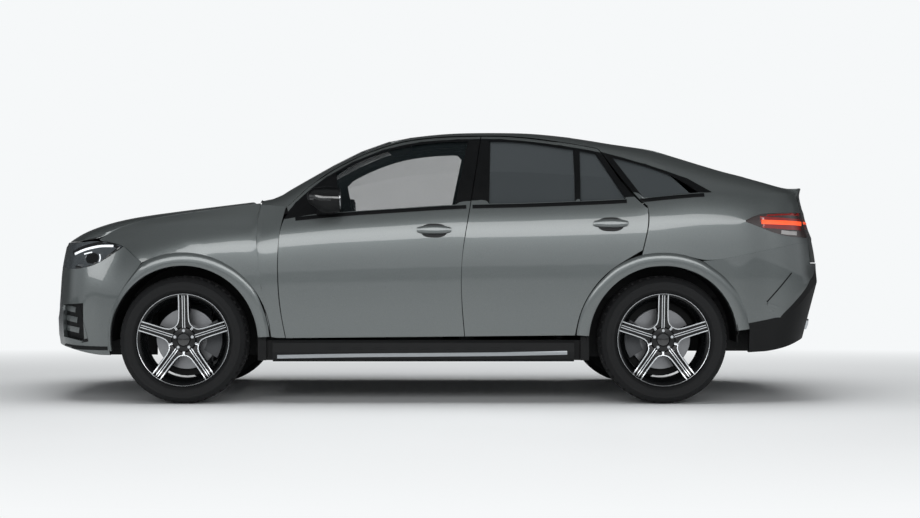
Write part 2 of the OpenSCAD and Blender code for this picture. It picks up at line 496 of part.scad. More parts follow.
// Rear bumper and the valance below it
tail_ts = [0.88, 0.74, 0.6, 0.45, 0.3, 0.15, 0];
tail_rows = [
  [7, 480, [[0, 752], [0.3, 746], [0.6, 700], [0.8, 570], [1, 480]]],
  [20, 590, [[0, 776], [0.6, 752], [1, 590]]],
  [34, 700, [[0, 806], [0.6, 800], [1, 700]]],
  [48, 800, [[0, 856], [0.6, 856], [1, 800]]],
  [62, 945, [[0, 985], [1, 945]]]];
bumper_q = [0.62, 0.8, 0.9, 1];
function rear_start(i) = let(r = arch_o + seam, a = tail_rows[i][0])
  i == 4 ? [quarter_pt(0, 0.47)[0], over_arch(quarter_pt(0, 0.47)[0])] : [rear_axle + r * cos(a), wheel_z + r * sin(a)];
function tail_row(i, d) = let(
    a = rear_start(i),
    half = concat(
      [[a[0], side_y(a[0], a[1]) - d, a[1] - (i == 4 ? seam : 0)]],
      [for (k = [0:3]) i == 4 ? quarter_pt(0, bumper_q[k], d) - [0, 0, seam]
        : let(f = (k + 1) / 4, x = mix(a[0], tail_start, f), z = mix(a[1], tail_rows[i][1], f))
          [x, side_y(x, z) - d, z]],
      [for (k = [0:len(tail_ts) - 1]) let(t = tail_ts[k])
        i == 4 && k < 3 ? quarter_pt(0, [1.3, 1.65, 2][k], d) - [0, 0, seam]
        : tail(t, curve(tail_rows[i][2], t), d)]))
  concat(flip(-1, half), [for (k = [len(half) - 2:-1:0]) half[k]]);
module bumper_rear() {
  n = len(tail_row(0, 0));
  grid = function(d) [for (i = [0:4]) tail_row(i, d)];
  shell(grid(0), grid(bumper_d), function(i, j) let(k = min(j, n - 2 - j)) i < 3 || k < 7);
}
valance_low = [[0, 396], [0.5, 385], [0.8, 345], [1, 318]];
module valance() {
  low = function(d) let(
      a = [rear_axle + arch_x(312, arch_o + seam), 312],
      half = concat(
        [[a[0], side_y(a[0], a[1]) - d, a[1]]],
        [for (k = [1:4]) let(x = mix(a[0], tail_start, k / 4), z = mix(a[1], 318, k / 4)) [x, side_y(x, z) - d, z]],
        [for (t = tail_ts) tail(t, curve(valance_low, t), d)]))
    concat(flip(-1, half), [for (k = [len(half) - 2:-1:0]) half[k]]);
  grid = function(d) let(top = [for (p = tail_row(0, d)) p - [0, 0, seam]], bot = low(d))
    [bot, [for (k = [0:len(bot) - 1]) let(m = mix(bot[k], top[k], 0.55)) m], top];
  shell(grid(0), grid(bumper_d));
}

// Arch mouldings: bands standing proud of the body, out to the edges of the panels round the arch
function cross2(a, b) = a[0] * b[1] - a[1] * b[0];
function edge_r(pts, a, i = 0) = let(
    p = pts[i], q = pts[i + 1], u = [cos(a), sin(a)],
    inside = cross2(p, u) >= -0.001 && cross2(u, q) >= -0.001)
  inside || i == len(pts) - 2 ? cross2(p, q - p) / cross2(u, q - p) : edge_r(pts, a, i + 1);
front_arch_edge = concat(
  [for (k = [15:-1:0]) let(a = mix(fender_cut, 2, k / 15)) [cos(a), sin(a)] * (arch_o - (a < 30 ? 11 : -seam))],
  [for (i = [5:-1:0]) arch_start(i) - [front_axle, wheel_z]]);
rear_arch_edge = concat(
  [[arch_x(312, arch_o + seam), 312 - wheel_z]],
  [for (i = [0:4]) rear_start(i) - [rear_axle, wheel_z]],
  [for (q = [0.33, 0.19, 0.05, 0]) let(p = quarter_pt(0, q)) [p[0] - rear_axle, p[2] - wheel_z]],
  [for (a = [108:6:180]) [cos(a), sin(a)] * (arch_o - (a > 130 ? 5 : -seam))]);
module arch_trim(side, x0, angles, edge) {
  proud = [[0, -12], [0.05, 8], [0.3, 14], [0.8, 12], [1, 1]];
  grid = function(d) [for (p = proud) [for (a = angles) let(
      r = mix(arch_r, edge_r(edge, a) - seam, p[0]), x = x0 + r * cos(a), z = wheel_z + r * sin(a))
    [x, side * (side_y(x, z) + (d > 0 ? -d : p[1])), z]]];
  shell(grid(0), grid(26), turn = side < 0);
}
module front_trim(side) {
  arch_trim(side, front_axle, concat([for (k = [15:-1:0]) mix(fender_cut, 2, k / 15)],
    [125, 132, 140, 148, 157, 163.5, 170, 176.5, 183, 189]), front_arch_edge);
}
module rear_trim(side) {
  turns = [for (p = rear_arch_edge) atan2(p[1], p[0])];
  arch_trim(side, rear_axle, concat([7, 13.5, 20, 27, 34, 41, 48, 55.5],
    [for (k = [5:9]) turns[k]], [for (a = [108:6:174]) a], [177]), rear_arch_edge);
}

// Hinges: a pin on the body between two plates, an eye with a strap on the moving panel
eye_r = 13;
eye_h = 30;
plate_t = 10;
plate_r = pin_r + 3;
hinge_in = 28;
door_hinge_z = [740, 940];
front_hinge = [door_front_x(750) + hinge_set, door_half_width - 3 - hinge_in];
rear_hinge = [door_middle_x(750) + hinge_set, door_half_width + 1 - hinge_in];
post_y = door_half_width - door_t - 46;
module bore(h) {
  cylinder(r = pin_r + fit, h = h, center = true);
}
module door_eyes(side, h) {
  for (z = door_hinge_z) translate([h[0], side * h[1], z]) difference() {
    union() {
      cylinder(r = eye_r, h = eye_h, center = true);
      translate([0, side > 0 ? -eye_r : 0, -eye_h / 2]) cube([36, eye_r, eye_h]);
    }
    bore(eye_h + 2);
  }
}
module door_pins(side, h) {
  leg = h[1] - post_y + 2;
  for (z = door_hinge_z) translate([h[0], side * h[1], z]) {
    cylinder(r = pin_r, h = eye_h + 2 * plate_t, center = true);
    for (k = [-1, 1]) translate([0, 0, k * (eye_h / 2 + fit + plate_t / 2)]) {
      cylinder(r = plate_r, h = plate_t, center = true);
      translate([-plate_r, side > 0 ? -leg : 0, -plate_t / 2]) cube([2 * plate_r, leg, plate_t]);
    }
  }
}

// Bonnet and tailgate hinges turn about lines along Y
bonnet_hinge = [at(14.6) - 16, top_z(at(14.6) - 16, 600) - bonnet_t - 15];
bonnet_hinge_y = 600;
gate_hinge_y = 330;
gate_set = 60;
gate_hinge = [at(86.9) + gate_set, top_z(at(86.9) + gate_set, gate_hinge_y) - 2 * skin_t - 17];
cowl_z = bonnet_hinge[1] - 50;
module lying(h, r) {
  rotate([90, 0, 0]) cylinder(r = r, h = h, center = true);
}
module bonnet_eyes() {
  for (m = [-1, 1]) translate([bonnet_hinge[0], m * bonnet_hinge_y, bonnet_hinge[1]]) difference() {
    union() {
      lying(eye_h, eye_r);
      translate([-80, -eye_h / 2, -6]) cube([80, eye_h, 26]);
    }
    lying(eye_h + 2, pin_r + fit);
  }
}
module bonnet_pins() {
  for (m = [-1, 1]) translate([bonnet_hinge[0], m * bonnet_hinge_y, bonnet_hinge[1]]) {
    lying(eye_h + 2 * plate_t, pin_r);
    for (k = [-1, 1]) translate([0, k * (eye_h / 2 + fit + plate_t / 2), 0]) {
      lying(plate_t, plate_r);
      translate([-plate_r, -plate_t / 2, cowl_z - 5 - bonnet_hinge[1]])
        cube([2 * plate_r, plate_t, bonnet_hinge[1] - cowl_z + 5]);
    }
  }
}
module gate_eyes() {
  for (m = [-1, 1]) translate([gate_hinge[0], m * gate_hinge_y, gate_hinge[1]]) difference() {
    union() {
      lying(eye_h, eye_r);
      translate([0, -eye_h / 2, -eye_r]) cube([46, eye_h, eye_r]);
    }
    lying(eye_h + 2, pin_r + fit);
  }
}
module gate_pins() {
  reach = 150;
  drop = 86;
  rise = top_z(gate_hinge[0] - reach, gate_hinge_y) - roof_t + 8 - gate_hinge[1];
  for (m = [-1, 1]) translate([gate_hinge[0], m * gate_hinge_y, gate_hinge[1]]) {
    lying(eye_h + 2 * plate_t, pin_r);
    for (k = [-1, 1]) translate([0, k * (eye_h / 2 + fit + plate_t / 2), 0]) {
      lying(plate_t, plate_r);
      rotate([90, 0, 0]) linear_extrude(plate_t, center = true) polygon([[-plate_r, 0], [-plate_r, -drop + 18],
        [18 - reach, -drop + 18], [18 - reach, rise], [-reach, rise], [-reach, -drop], [plate_r, -drop], [plate_r, 0]]);
    }
  }
}

// Wheel: the axle runs along Y, the outer face looks to +Y
function turned(a) = [for (p = a) [p[1], p[0]]];
module spun(profile) {
  rotate([-90, 0, 0]) rotate_extrude($fn = 96) polygon(profile);
}
bead_r = rim_d / 2 - 17;
rim_h = rim_w / 2;
module tyre_body() {
  w = tyre_w / 2;
  r = tyre_d / 2;
  spun([[bead_r + fit, -rim_h + 10], [rim_d / 2 + 2, -rim_h + 10], [rim_d / 2 + 14, -w + 12], [r - 55, -w], [r - 22, -w + 14], [r - 6, -w + 34],
    [r, -w + 62], [r, w - 62], [r - 6, w - 34], [r - 22, w - 14], [r - 55, w], [rim_d / 2 + 14, w - 12],
    [rim_d / 2 + 2, rim_h - 10], [bead_r + fit, rim_h - 10], [bead_r + fit, rim_h - 28], [bead_r + 34, w - 30], [r - 55, w - 16],
    [r - 30, w - 34], [r - 16, w - 66], [r - 16, -w + 66], [r - 30, -w + 34], [r - 55, -w + 16],
    [bead_r + 34, -w + 30], [bead_r + fit, -rim_h + 28]]);
}
hub_r = 74;
disc_y = -62;
disc_w = 30;
spindle_r = 30;
face_y = rim_h - 18;
module rim_body() {
  difference() {
    union() {
      spun([[rim_d / 2, -rim_h], [rim_d / 2, -rim_h + 8], [bead_r, -rim_h + 9], [bead_r, -rim_h + 40],
        [bead_r - 16, -rim_h + 60], [bead_r - 16, rim_h - 70], [bead_r, rim_h - 50], [bead_r, rim_h - 9],
        [rim_d / 2, rim_h - 8], [rim_d / 2, rim_h], [rim_d / 2 - 10, rim_h], [bead_r - 10, rim_h - 14],
        [bead_r - 10, rim_h - 46], [bead_r - 25, rim_h - 66], [bead_r - 25, -rim_h + 56], [bead_r - 9, -rim_h + 36],
        [bead_r - 9, -rim_h + 2]]);
      spun([[0, disc_y + 40], [hub_r + 8, disc_y + 40], [hub_r + 8, face_y - 34], [hub_r - 8, face_y - 8],
        [38, face_y - 2], [36, face_y - 8], [0, face_y - 8]]);
      spun([[0, disc_y - disc_w / 2], [disc_d / 2, disc_y - disc_w / 2], [disc_d / 2, disc_y + disc_w / 2],
        [hub_r, disc_y + disc_w / 2], [hub_r, disc_y + 44], [0, disc_y + 44]]);
      for (k = [0:4]) rotate([0, 90 + k * 72, 0]) for (m = [-1, 1])
        translate([hub_r - 20, face_y - 40, 0]) rotate([0, m * 2.5, 0])
          translate([0, 0, m * (spoke_w / 2 - 8) - 9]) cube([bead_r - hub_r + 12, 34, 18]);
    }
    rotate([-90, 0, 0]) translate([0, 0, disc_y - disc_w]) cylinder(r = spindle_r + fit, h = disc_w + 42);
    for (k = [0:4]) rotate([0, 90 + k * 72, 0]) translate([bolt_circle / 2, face_y - 22, 0])
      rotate([-90, 0, 0]) cylinder(r = 12, h = 40, $fn = 24);
  }
}
// Caliper round the disc; start and sweep in degrees about the axle
module caliper(start, sweep) {
  rotate([-90, 0, 0]) rotate([0, 0, start]) rotate_extrude(angle = sweep, $fn = 96)
    polygon([[128, disc_y - 36], [222, disc_y - 36], [222, disc_y + 34], [128, disc_y + 34], [128, disc_y + 18],
      [disc_d / 2 + 3, disc_y + 18], [disc_d / 2 + 3, disc_y - 18], [128, disc_y - 18]]);
}
kingpin_y = -100;
upright_y = disc_y - disc_w / 2 - 8;
ball_z = [-165, 172];
module upright(side_start) {
  difference() {
    union() {
      translate([0, disc_y + 38, 0]) rotate([90, 0, 0]) cylinder(r = spindle_r, h = 38 - disc_y + upright_y + 100);
      translate([-55, kingpin_y - 22, ball_z[0]]) cube([110, upright_y - kingpin_y + 22, ball_z[1] - ball_z[0]]);
      rotate([0, side_start, 0]) translate([100, disc_y - 36 - 14, -45]) cube([90, 15, 90]);
      rotate([0, side_start, 0]) translate([0, kingpin_y - 22, -30]) cube([120, upright_y - kingpin_y + 22, 60]);
      caliper(side_start - 32, 64);
    }
    for (z = [ball_z[0] - 1, ball_z[1] - 29]) translate([0, kingpin_y, z]) cylinder(r = 12 + fit, h = 30);
  }
}
module place_wheel(side, x) {
  translate([x, side * half_track, wheel_z]) mirror([0, side < 0 ? 1 : 0, 0]) children();
}
king_y = half_track + kingpin_y;

// Chassis: cross members with arms whose ball pins carry the uprights
arm_t = 20;
tower_in = 400;
tower_out = 470;
module subframe(x) {
  low = wheel_z + ball_z[0] - fit;
  high = wheel_z + ball_z[1] + fit;
  translate([x, 0, 0]) {
    translate([-120, -tower_out, low - arm_t - 16]) cube([240, 2 * tower_out, arm_t + 16]);
    for (m = [-1, 1]) {
      translate([-110, m > 0 ? tower_in + fit : -tower_out, low - arm_t - 16])
        cube([220, tower_out - tower_in - fit, high - low + 2 * arm_t + 16]);
      for (z = [low - arm_t, high]) translate([0, 0, z]) linear_extrude(arm_t) polygon([
        [-110, m * (tower_out - 8)], [110, m * (tower_out - 8)], [16, m * (king_y + 12)], [-16, m * (king_y + 12)]]);
      translate([0, m * king_y, low - 2]) cylinder(r = 12, h = 26);
      translate([0, m * king_y, high - 24]) cylinder(r = 12, h = 26);
    }
  }
}
rail_in = 330;
rail_z = [430, 540];
floor_z = 262;
floor_t = 20;
cabin_front = front_axle + arch_r + 40;
cabin_rear = rear_axle - arch_r - 40;
sill_out = post_y + 38;
load_z = 640;
house_y = half_track - tyre_w / 2 - 42.5;
module block(a, b) {
  translate(a) cube(b - a);
}
module both(a, b) {
  block(a, b);
  block([a[0], -b[1], a[2]], [b[0], -a[1], b[2]]);
}
module liner(x, inner, outer) {
  wide = outer - inner;
  for (m = [-1, 1]) translate([x, m * (inner + outer) / 2, wheel_z]) rotate([90, 0, 0]) rotate([0, 0, -2])
    rotate_extrude(angle = 184, $fn = 96) translate([arch_r + 5, -wide / 2]) square([6, wide]);
}
// Inner wall of a wheel housing above a height
module house_wall(x, y, low) {
  for (m = [-1, 1]) translate([x, m * (y + 3), wheel_z]) rotate([90, 0, 0]) linear_extrude(6, center = true)
    intersection() {
      circle(r = arch_r + 8, $fn = 96);
      translate([-arch_r - 20, low - wheel_z]) square([2 * arch_r + 40, arch_r]);
    }
}
module middle_pillar(side) {
  rows = [for (z = steps(1100, roof_height - 78, 3)) [z, z < 1600 ? 74 : 70]];
  lean = function(z) door_middle_x(z);
  grid = function(d) [for (r = rows) [for (k = [-18, 30, 78]) let(x = lean(r[0]) + k)
    [x, side * (side_y(x, r[0]) - (r[0] < 1200 ? door_t + 20 : r[1]) - d), r[0]]]];
  shell(grid(0), grid(40), turn = side > 0);
}
module frame() {
  block([cabin_front, -800, floor_z], [cabin_rear, 800, floor_z + floor_t]);
  both([cabin_front, 790, floor_z], [cabin_rear, sill_out, 385]);
  block([cabin_front - 5, -700, floor_z], [cabin_front + 20, 700, cowl_z]);
  block([cabin_front - 100, -680, cowl_z - 60], [cabin_front + 20, 680, cowl_z]);
  both([front_axle - 700, rail_in, rail_z[0]], [cabin_front + 5, tower_in, rail_z[1]]);
  both([cabin_front - 42, half_track - 337, floor_z], [cabin_front + 10, 890, 410]);
  both([cabin_front - 10, 690, floor_z], [front_hinge[0] + plate_r, post_y, cowl_z - 40]);
  both([door_middle_x(750) - 10, 740, floor_z], [rear_hinge[0] + plate_r, post_y, 1130]);
  both([cabin_rear - 10, house_y - 6, floor_z], [cabin_rear + 42, 890, 410]);
  block([cabin_rear - 10, -house_y - 10, floor_z], [cabin_rear + 15, house_y + 10, load_z + 20]);
  block([cabin_rear, -house_y - 4, load_z], [rear_axle + arch_r + 40, house_y + 4, load_z + 20]);
  block([rear_axle + arch_r + 20, -760, load_z], [tail_start + 180, 760, load_z + 20]);
  both([cabin_rear, rail_in, rail_z[0]], [tail_start + 170, tower_in, rail_z[1]]);
  block([tail_start + 160, -660, rail_z[0] - 20], [tail_start + 180, 660, load_z + 10]);
  liner(front_axle, half_track - 340, half_track);
  liner(rear_axle, house_y, 898);
  house_wall(front_axle, half_track - 343, 640);
  house_wall(rear_axle, house_y - 3, load_z + 10);
  for (m = [-1, 1]) {
    door_pins(m, front_hinge);
    door_pins(m, rear_hinge);
    middle_pillar(m);
  }
  bonnet_pins();
}

// Cabin
module seat_profile(x, w) {
  translate([x, w / 2, 0]) rotate([90, 0, 0]) linear_extrude(w) polygon([[-230, floor_z + floor_t + fit], [120, floor_z + floor_t + fit],
    [140, 470], [260, 480], [330, 720], [440, 1130], [470, 1190], [490, 1350], [420, 1372], [385, 1330], [385, 1200],
    [350, 1170], [200, 680], [150, 650], [-220, 690], [-280, 660], [-285, 580], [-250, 480]]);
}
module bench_profile(x, w) {
  translate([x, w / 2, 0]) rotate([90, 0, 0]) linear_extrude(w) polygon([[-140, floor_z + floor_t + fit], [-100, floor_z + floor_t + fit],
    [-90, load_z + 20 + fit], [360, load_z + 20 + fit], [470, 1180], [430, 1230], [370, 1210], [250, 840], [190, 800], [-130, 800], [-200, 770], [-205, 690]]);
}
column_tilt = 24;
wheel_c = [at(34.2), -380, 990];
module steering() {
  translate(wheel_c) rotate([0, 90 - column_tilt, 0]) {
    rotate_extrude($fn = 72) translate([178, 0]) circle(r = 15, $fn = 24);
    difference() {
      union() {
        translate([0, 0, -38]) cylinder(r = 52, h = 40);
        for (a = [0, 90, 180]) rotate([0, 0, a + 90]) translate([40, -16, -22]) cube([132, 32, 14]);
      }
      translate([0, 0, -39]) cylinder(r = 12 + fit, h = 30);
    }
  }
}
module dash() {
  translate([0, 690, 0]) rotate([90, 0, 0]) linear_extrude(1380) polygon([[cabin_front + 20 + fit, 700],
    [cabin_front + 20 + fit, cowl_z - 40], [cabin_front + 140, cowl_z - 20], [at(26), 1105], [at(30), 1045],
    [at(30.6), 930], [at(28.6), 820], [at(26), 700]]);
  translate(wheel_c) rotate([0, 90 - column_tilt, 0]) {
    translate([0, 0, -220]) cylinder(r = 34, h = 182 - 2);
    translate([0, 0, -60]) cylinder(r = 12, h = 48);
  }
}
module mirror_body(side) {
  x = at(29.4);
  y0 = side_y(x, belt(x) - 14) + fit;
  scale([1, side, 1]) union() {
    hull() {
      translate([x - 40, y0 + 86, 1262]) scale([64, 66, 58]) sphere(1, $fn = 28);
      translate([x + 20, y0 + 86, 1246]) scale([86, 84, 80]) sphere(1, $fn = 28);
      translate([x + 84, y0 + 82, 1246]) rotate([0, 90, 0]) scale([74, 78, 1]) cylinder(r = 1, h = 14, $fn = 28);
    }
    hull() {
      translate([x - 50, y0, belt(x) - 8]) cube([110, 4, 26]);
      translate([x - 30, y0 + 60, belt(x) + 20]) cube([80, 20, 22]);
    }
  }
}
module running_board(side) {
  a = front_axle + arch_o + 10;
  b = rear_axle - arch_o - 10;
  translate([a, 0, 0]) rotate([90, 0, 90]) linear_extrude(b - a) polygon([for (p = [[fit, 258], [62, 258],
    [82, 276], [85, 316], [72, 372], [60, 388], [fit, 388]]) [side * (sill_out + p[0]), p[1]]]);
}
engine_size = [700, 560, crown(front_axle) - 646];
engine_at = [front_axle - 60, 0, 420];
module engine() {
  translate(engine_at - [engine_size[0] / 2, engine_size[1] / 2, 0]) cube(engine_size);
  both([front_axle - 90, 200, wheel_z + ball_z[0]], [front_axle + 90, 260, engine_at[2] + 10]);
}
module silencer() {
  block([rear_axle + arch_r + 60, -310, load_z - 160], [tail_start + 140, 310, load_z - fit]);
}

paint = "#8a8d90";
black = "#1c1d1f";
glass = "#4b555c";
steel = "#9a9da0";

module floor_pan() { color(black) frame(); }
module body_side_left() { color(paint) mirror([0, 1, 0]) body_side(1); }
module body_side_right() { color(paint) body_side(1); }
module roof() {
  color(paint) union() {
    roof_panel();
    gate_pins();
  }
}
module fixed_windows() {
  color(glass) {
    windscreen();
    roof_glass();
    for (side = [-1, 1]) quarter_window(side);
  }
}
module front_fenders() { color(paint) for (side = [-1, 1]) front_fender(side); }
module front_bumper() { color(paint) bumper_front(); }
module grille() { color(black) grille_inserts(); }
module headlamps() { color(glass) for (side = [-1, 1]) headlamp(side); }
module rear_bumper() { color(paint) bumper_rear(); }
module rear_valance() { color(black) valance(); }
module tail_lamps() { color("#a01c1c") for (side = [-1, 1]) quarter_lamp(side); }
module arch_trims() {
  color(paint) for (side = [-1, 1]) {
    front_trim(side);
    rear_trim(side);
  }
}
module running_boards() { color(black) for (side = [-1, 1]) running_board(side); }
module front_seats() { color(black) for (side = [-1, 1]) translate([0, side * 370, 0]) seat_profile(at(50), 500); }
module rear_seat() { color(black) bench_profile(at(83.5), 2 * (house_y - 7)); }
module dashboard() { color(black) dash(); }
module engine_block() { color(steel) engine(); }
module subframes() { color(black) for (x = [front_axle, rear_axle]) subframe(x); }
module rear_hub_carriers() { color(steel) for (side = [-1, 1]) place_wheel(side, rear_axle) upright(180); }
module exhaust_silencer() { color(steel) silencer(); }
module door_front_left() {
  color(paint) union() {
    front_door(-1);
    door_eyes(-1, front_hinge);
  }
}
module window_front_left() { color(glass) front_window(-1); }
module mirror_left() { color(black) mirror_body(-1); }
module door_front_right() {
  color(paint) union() {
    front_door(1);
    door_eyes(1, front_hinge);
  }
}
module window_front_right() { color(glass) front_window(1); }
module mirror_right() { color(black) mirror_body(1); }
module door_rear_left() {
  color(paint) union() {
    rear_door(-1);
    door_eyes(-1, rear_hinge);
  }
}
module window_rear_left() { color(glass) rear_window(-1); }
module door_rear_right() {
  color(paint) union() {
    rear_door(1);
    door_eyes(1, rear_hinge);
  }
}
module window_rear_right() { color(glass) rear_window(1); }
module bonnet() {
  color(paint) union() {
    bonnet_panel();
    bonnet_eyes();
  }
}
module tailgate() {
  color(paint) union() {
    tailgate_panel();
    gate_eyes();
  }
}
module tailgate_window() { color(glass) tailgate_glass(); }
module tailgate_lamps() { color("#a01c1c") for (side = [-1, 1]) gate_lamp(side); }
module knuckle_left() { color(steel) place_wheel(-1, front_axle) upright(0); }
module knuckle_right() { color(steel) place_wheel(1, front_axle) upright(0); }
module rim_front_left() { color(steel) place_wheel(-1, front_axle) rim_body(); }
module tyre_front_left() { color(black) place_wheel(-1, front_axle) tyre_body(); }
module rim_front_right() { color(steel) place_wheel(1, front_axle) rim_body(); }
module tyre_front_right() { color(black) place_wheel(1, front_axle) tyre_body(); }
module rim_rear_left() { color(steel) place_wheel(-1, rear_axle) rim_body(); }
module tyre_rear_left() { color(black) place_wheel(-1, rear_axle) tyre_body(); }
module rim_rear_right() { color(steel) place_wheel(1, rear_axle) rim_body(); }
module tyre_rear_right() { color(black) place_wheel(1, rear_axle) tyre_body(); }
module steering_wheel() { color(black) steering(); }

floor_pan();
body_side_left();
body_side_right();
roof();
fixed_windows();
front_fenders();
front_bumper();
grille();
headlamps();
rear_bumper();
rear_valance();
tail_lamps();
arch_trims();
running_boards();
front_seats();
rear_seat();
dashboard();
engine_block();
subframes();
rear_hub_carriers();
exhaust_silencer();
door_front_left();
window_front_left();
mirror_left();
door_front_right();
window_front_right();
mirror_right();
door_rear_left();
window_rear_left();
door_rear_right();
window_rear_right();
bonnet();
tailgate();
tailgate_window();
tailgate_lamps();
knuckle_left();
knuckle_right();
rim_front_left();
tyre_front_left();
rim_front_right();
tyre_front_right();
rim_rear_left();
tyre_rear_left();
rim_rear_right();
tyre_rear_right();
steering_wheel();
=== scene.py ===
"""Finishes and fine pieces of a coupe sport utility vehicle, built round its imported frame."""

import math

import bmesh
import bpy
from bpy.props import FloatProperty, PointerProperty, StringProperty
from mathutils import Matrix, Vector
from mathutils.bvhtree import BVHTree


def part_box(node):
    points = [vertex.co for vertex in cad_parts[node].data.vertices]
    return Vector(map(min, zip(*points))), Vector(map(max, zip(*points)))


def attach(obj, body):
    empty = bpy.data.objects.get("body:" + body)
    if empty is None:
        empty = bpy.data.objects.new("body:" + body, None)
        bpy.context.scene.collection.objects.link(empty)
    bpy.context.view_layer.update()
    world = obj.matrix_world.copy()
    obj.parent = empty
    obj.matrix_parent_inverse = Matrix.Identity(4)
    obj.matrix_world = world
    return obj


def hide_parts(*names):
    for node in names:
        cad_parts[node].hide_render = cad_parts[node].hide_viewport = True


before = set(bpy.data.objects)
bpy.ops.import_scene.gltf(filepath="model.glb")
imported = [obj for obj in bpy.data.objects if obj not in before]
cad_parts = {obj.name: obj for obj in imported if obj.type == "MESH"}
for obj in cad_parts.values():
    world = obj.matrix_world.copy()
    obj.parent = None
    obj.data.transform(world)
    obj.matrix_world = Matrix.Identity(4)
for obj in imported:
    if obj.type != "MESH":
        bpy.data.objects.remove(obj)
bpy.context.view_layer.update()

bl_info = {
    "name": "Coupe sport utility vehicle finishes",
    "version": (1, 0, 0),
    "blender": (4, 5, 0),
    "location": "View3D > Sidebar > Vehicle",
    "description": "Smooth panels, wheels, lamps, trim, cabin and studio of the vehicle",
    "category": "Object",
}

MM = 0.001
SIDES = {"left": -1, "right": 1}
WHEELS = ("front_left", "front_right", "rear_left", "rear_right")
UP = Vector((0, 0, 1))
HALL = "#f6f8f9"

# Finished pieces by the node that they stand for, and the finishes by their short names
built = {}
materials = {}


class VehicleFinish(bpy.types.PropertyGroup):
    """Colours of the vehicle."""

    paint: StringProperty(
        name="Paint", description="Metallic body colour, sRGB hex", default="#686d6d")
    paint_dark: StringProperty(
        name="Paint shade", description="Darker flake of the body colour, sRGB hex", default="#555a5a")
    trim: StringProperty(
        name="Black trim", description="Moulded black plastic, sRGB hex", default="#101112")
    lens_red: StringProperty(
        name="Red lens", description="Tail lamp colour, sRGB hex", default="#8e1712")
    floor: StringProperty(
        name="Floor", description="Studio floor colour, sRGB hex", default="#eef0f1")


class VehicleSizes(bpy.types.PropertyGroup):
    """Sizes of the fine pieces."""

    handle_length: FloatProperty(
        name="Door handle", description="Length of a door handle", default=0.215, unit="LENGTH")
    spoke_root: FloatProperty(
        name="Spoke root", description="Half width of a spoke by the hub", default=0.058, unit="LENGTH")
    spoke_tip: FloatProperty(
        name="Spoke tip", description="Half width of a spoke at the rim", default=0.0325, unit="LENGTH")
    plate_width: FloatProperty(
        name="Blank plate", description="Width of a blank plate", default=0.52, unit="LENGTH")
    lens: FloatProperty(
        name="Lens", description="Camera focal length, mm", default=61.1, unit="CAMERA")


def finish():
    return bpy.context.scene.vehicle_finish


def sizes():
    return bpy.context.scene.vehicle_sizes


# Materials

FILM_MM = 303


def linear(code):
    """A colour written in sRGB hex, as linear values."""
    parts = [int(code[k : k + 2], 16) / 255 for k in (1, 3, 5)]
    return (*[c / 12.92 if c <= 0.04045 else ((c + 0.055) / 1.055) ** 2.4 for c in parts], 1.0)


def add_node(tree, kind, inputs=None, **settings):
    """A node with its settings, and its inputs set or linked."""
    node = tree.nodes.new(kind)
    for key, value in settings.items():
        setattr(node, key, value)
    for key, value in (inputs or {}).items():
        if isinstance(value, bpy.types.NodeSocket):
            tree.links.new(value, node.inputs[key])
        else:
            node.inputs[key].default_value = value
    return node


def start_material(name, **values):
    """A material whose shader has plain values set on its own sockets."""
    material = bpy.data.materials.new(name)
    material.use_nodes = True
    shader = material.node_tree.nodes["Principled BSDF"]
    for key, value in values.items():
        shader.inputs[key.replace("_", " ").title().replace("Ior", "IOR")].default_value = value
    return material, material.node_tree, shader


def surface(
    name, colour, shade, roughness, lump_mm, swing=0.05, depth_mm=0.0, stretch=(1, 1, 1), **values
):
    """A material whose colour, gloss and relief wander over lumps of a real size."""
    material, tree, shader = start_material(name, **values)
    place = add_node(tree, "ShaderNodeTexCoord").outputs["Object"]
    spread = add_node(tree, "ShaderNodeMapping", {"Vector": place, "Scale": stretch}).outputs["Vector"]
    lumps = add_node(
        tree, "ShaderNodeTexNoise", {"Vector": spread, "Scale": 1 / (lump_mm * MM), "Detail": 3.0}
    ).outputs["Fac"]
    tone = add_node(
        tree, "ShaderNodeMix", {0: lumps, 6: linear(shade), 7: linear(colour)}, data_type="RGBA")
    gloss = add_node(
        tree, "ShaderNodeMapRange",
        {"Value": lumps, "To Min": max(0.01, roughness - swing), "To Max": roughness + swing})
    tree.links.new(tone.outputs[2], shader.inputs["Base Color"])
    tree.links.new(gloss.outputs["Result"], shader.inputs["Roughness"])
    if depth_mm:
        bump = add_node(
            tree, "ShaderNodeBump", {"Height": lumps, "Distance": depth_mm * MM, "Strength": 0.5})
        tree.links.new(bump.outputs["Normal"], shader.inputs["Normal"])
    return material


def glazing(name, colour, clear, tinted):
    """Float glass: more mirror-like at a slant, more see-through face on, under a faint film."""
    material, tree, shader = start_material(name, base_color=linear(colour), roughness=0.03, ior=1.52)
    slant = add_node(tree, "ShaderNodeLayerWeight", {"Blend": 0.25}).outputs["Fresnel"]
    place = add_node(tree, "ShaderNodeTexCoord").outputs["Object"]
    film = add_node(
        tree, "ShaderNodeTexNoise", {"Vector": place, "Scale": 1 / (FILM_MM * MM)}).outputs["Fac"]
    haze = add_node(tree, "ShaderNodeMath", {0: film, 1: 0.03}, operation="MULTIPLY").outputs[0]
    body = add_node(
        tree, "ShaderNodeMapRange", {"Value": slant, "To Min": clear, "To Max": tinted}).outputs["Result"]
    total = add_node(tree, "ShaderNodeMath", {0: body, 1: haze}, operation="ADD", use_clamp=True)
    tree.links.new(total.outputs[0], shader.inputs["Alpha"])
    return material


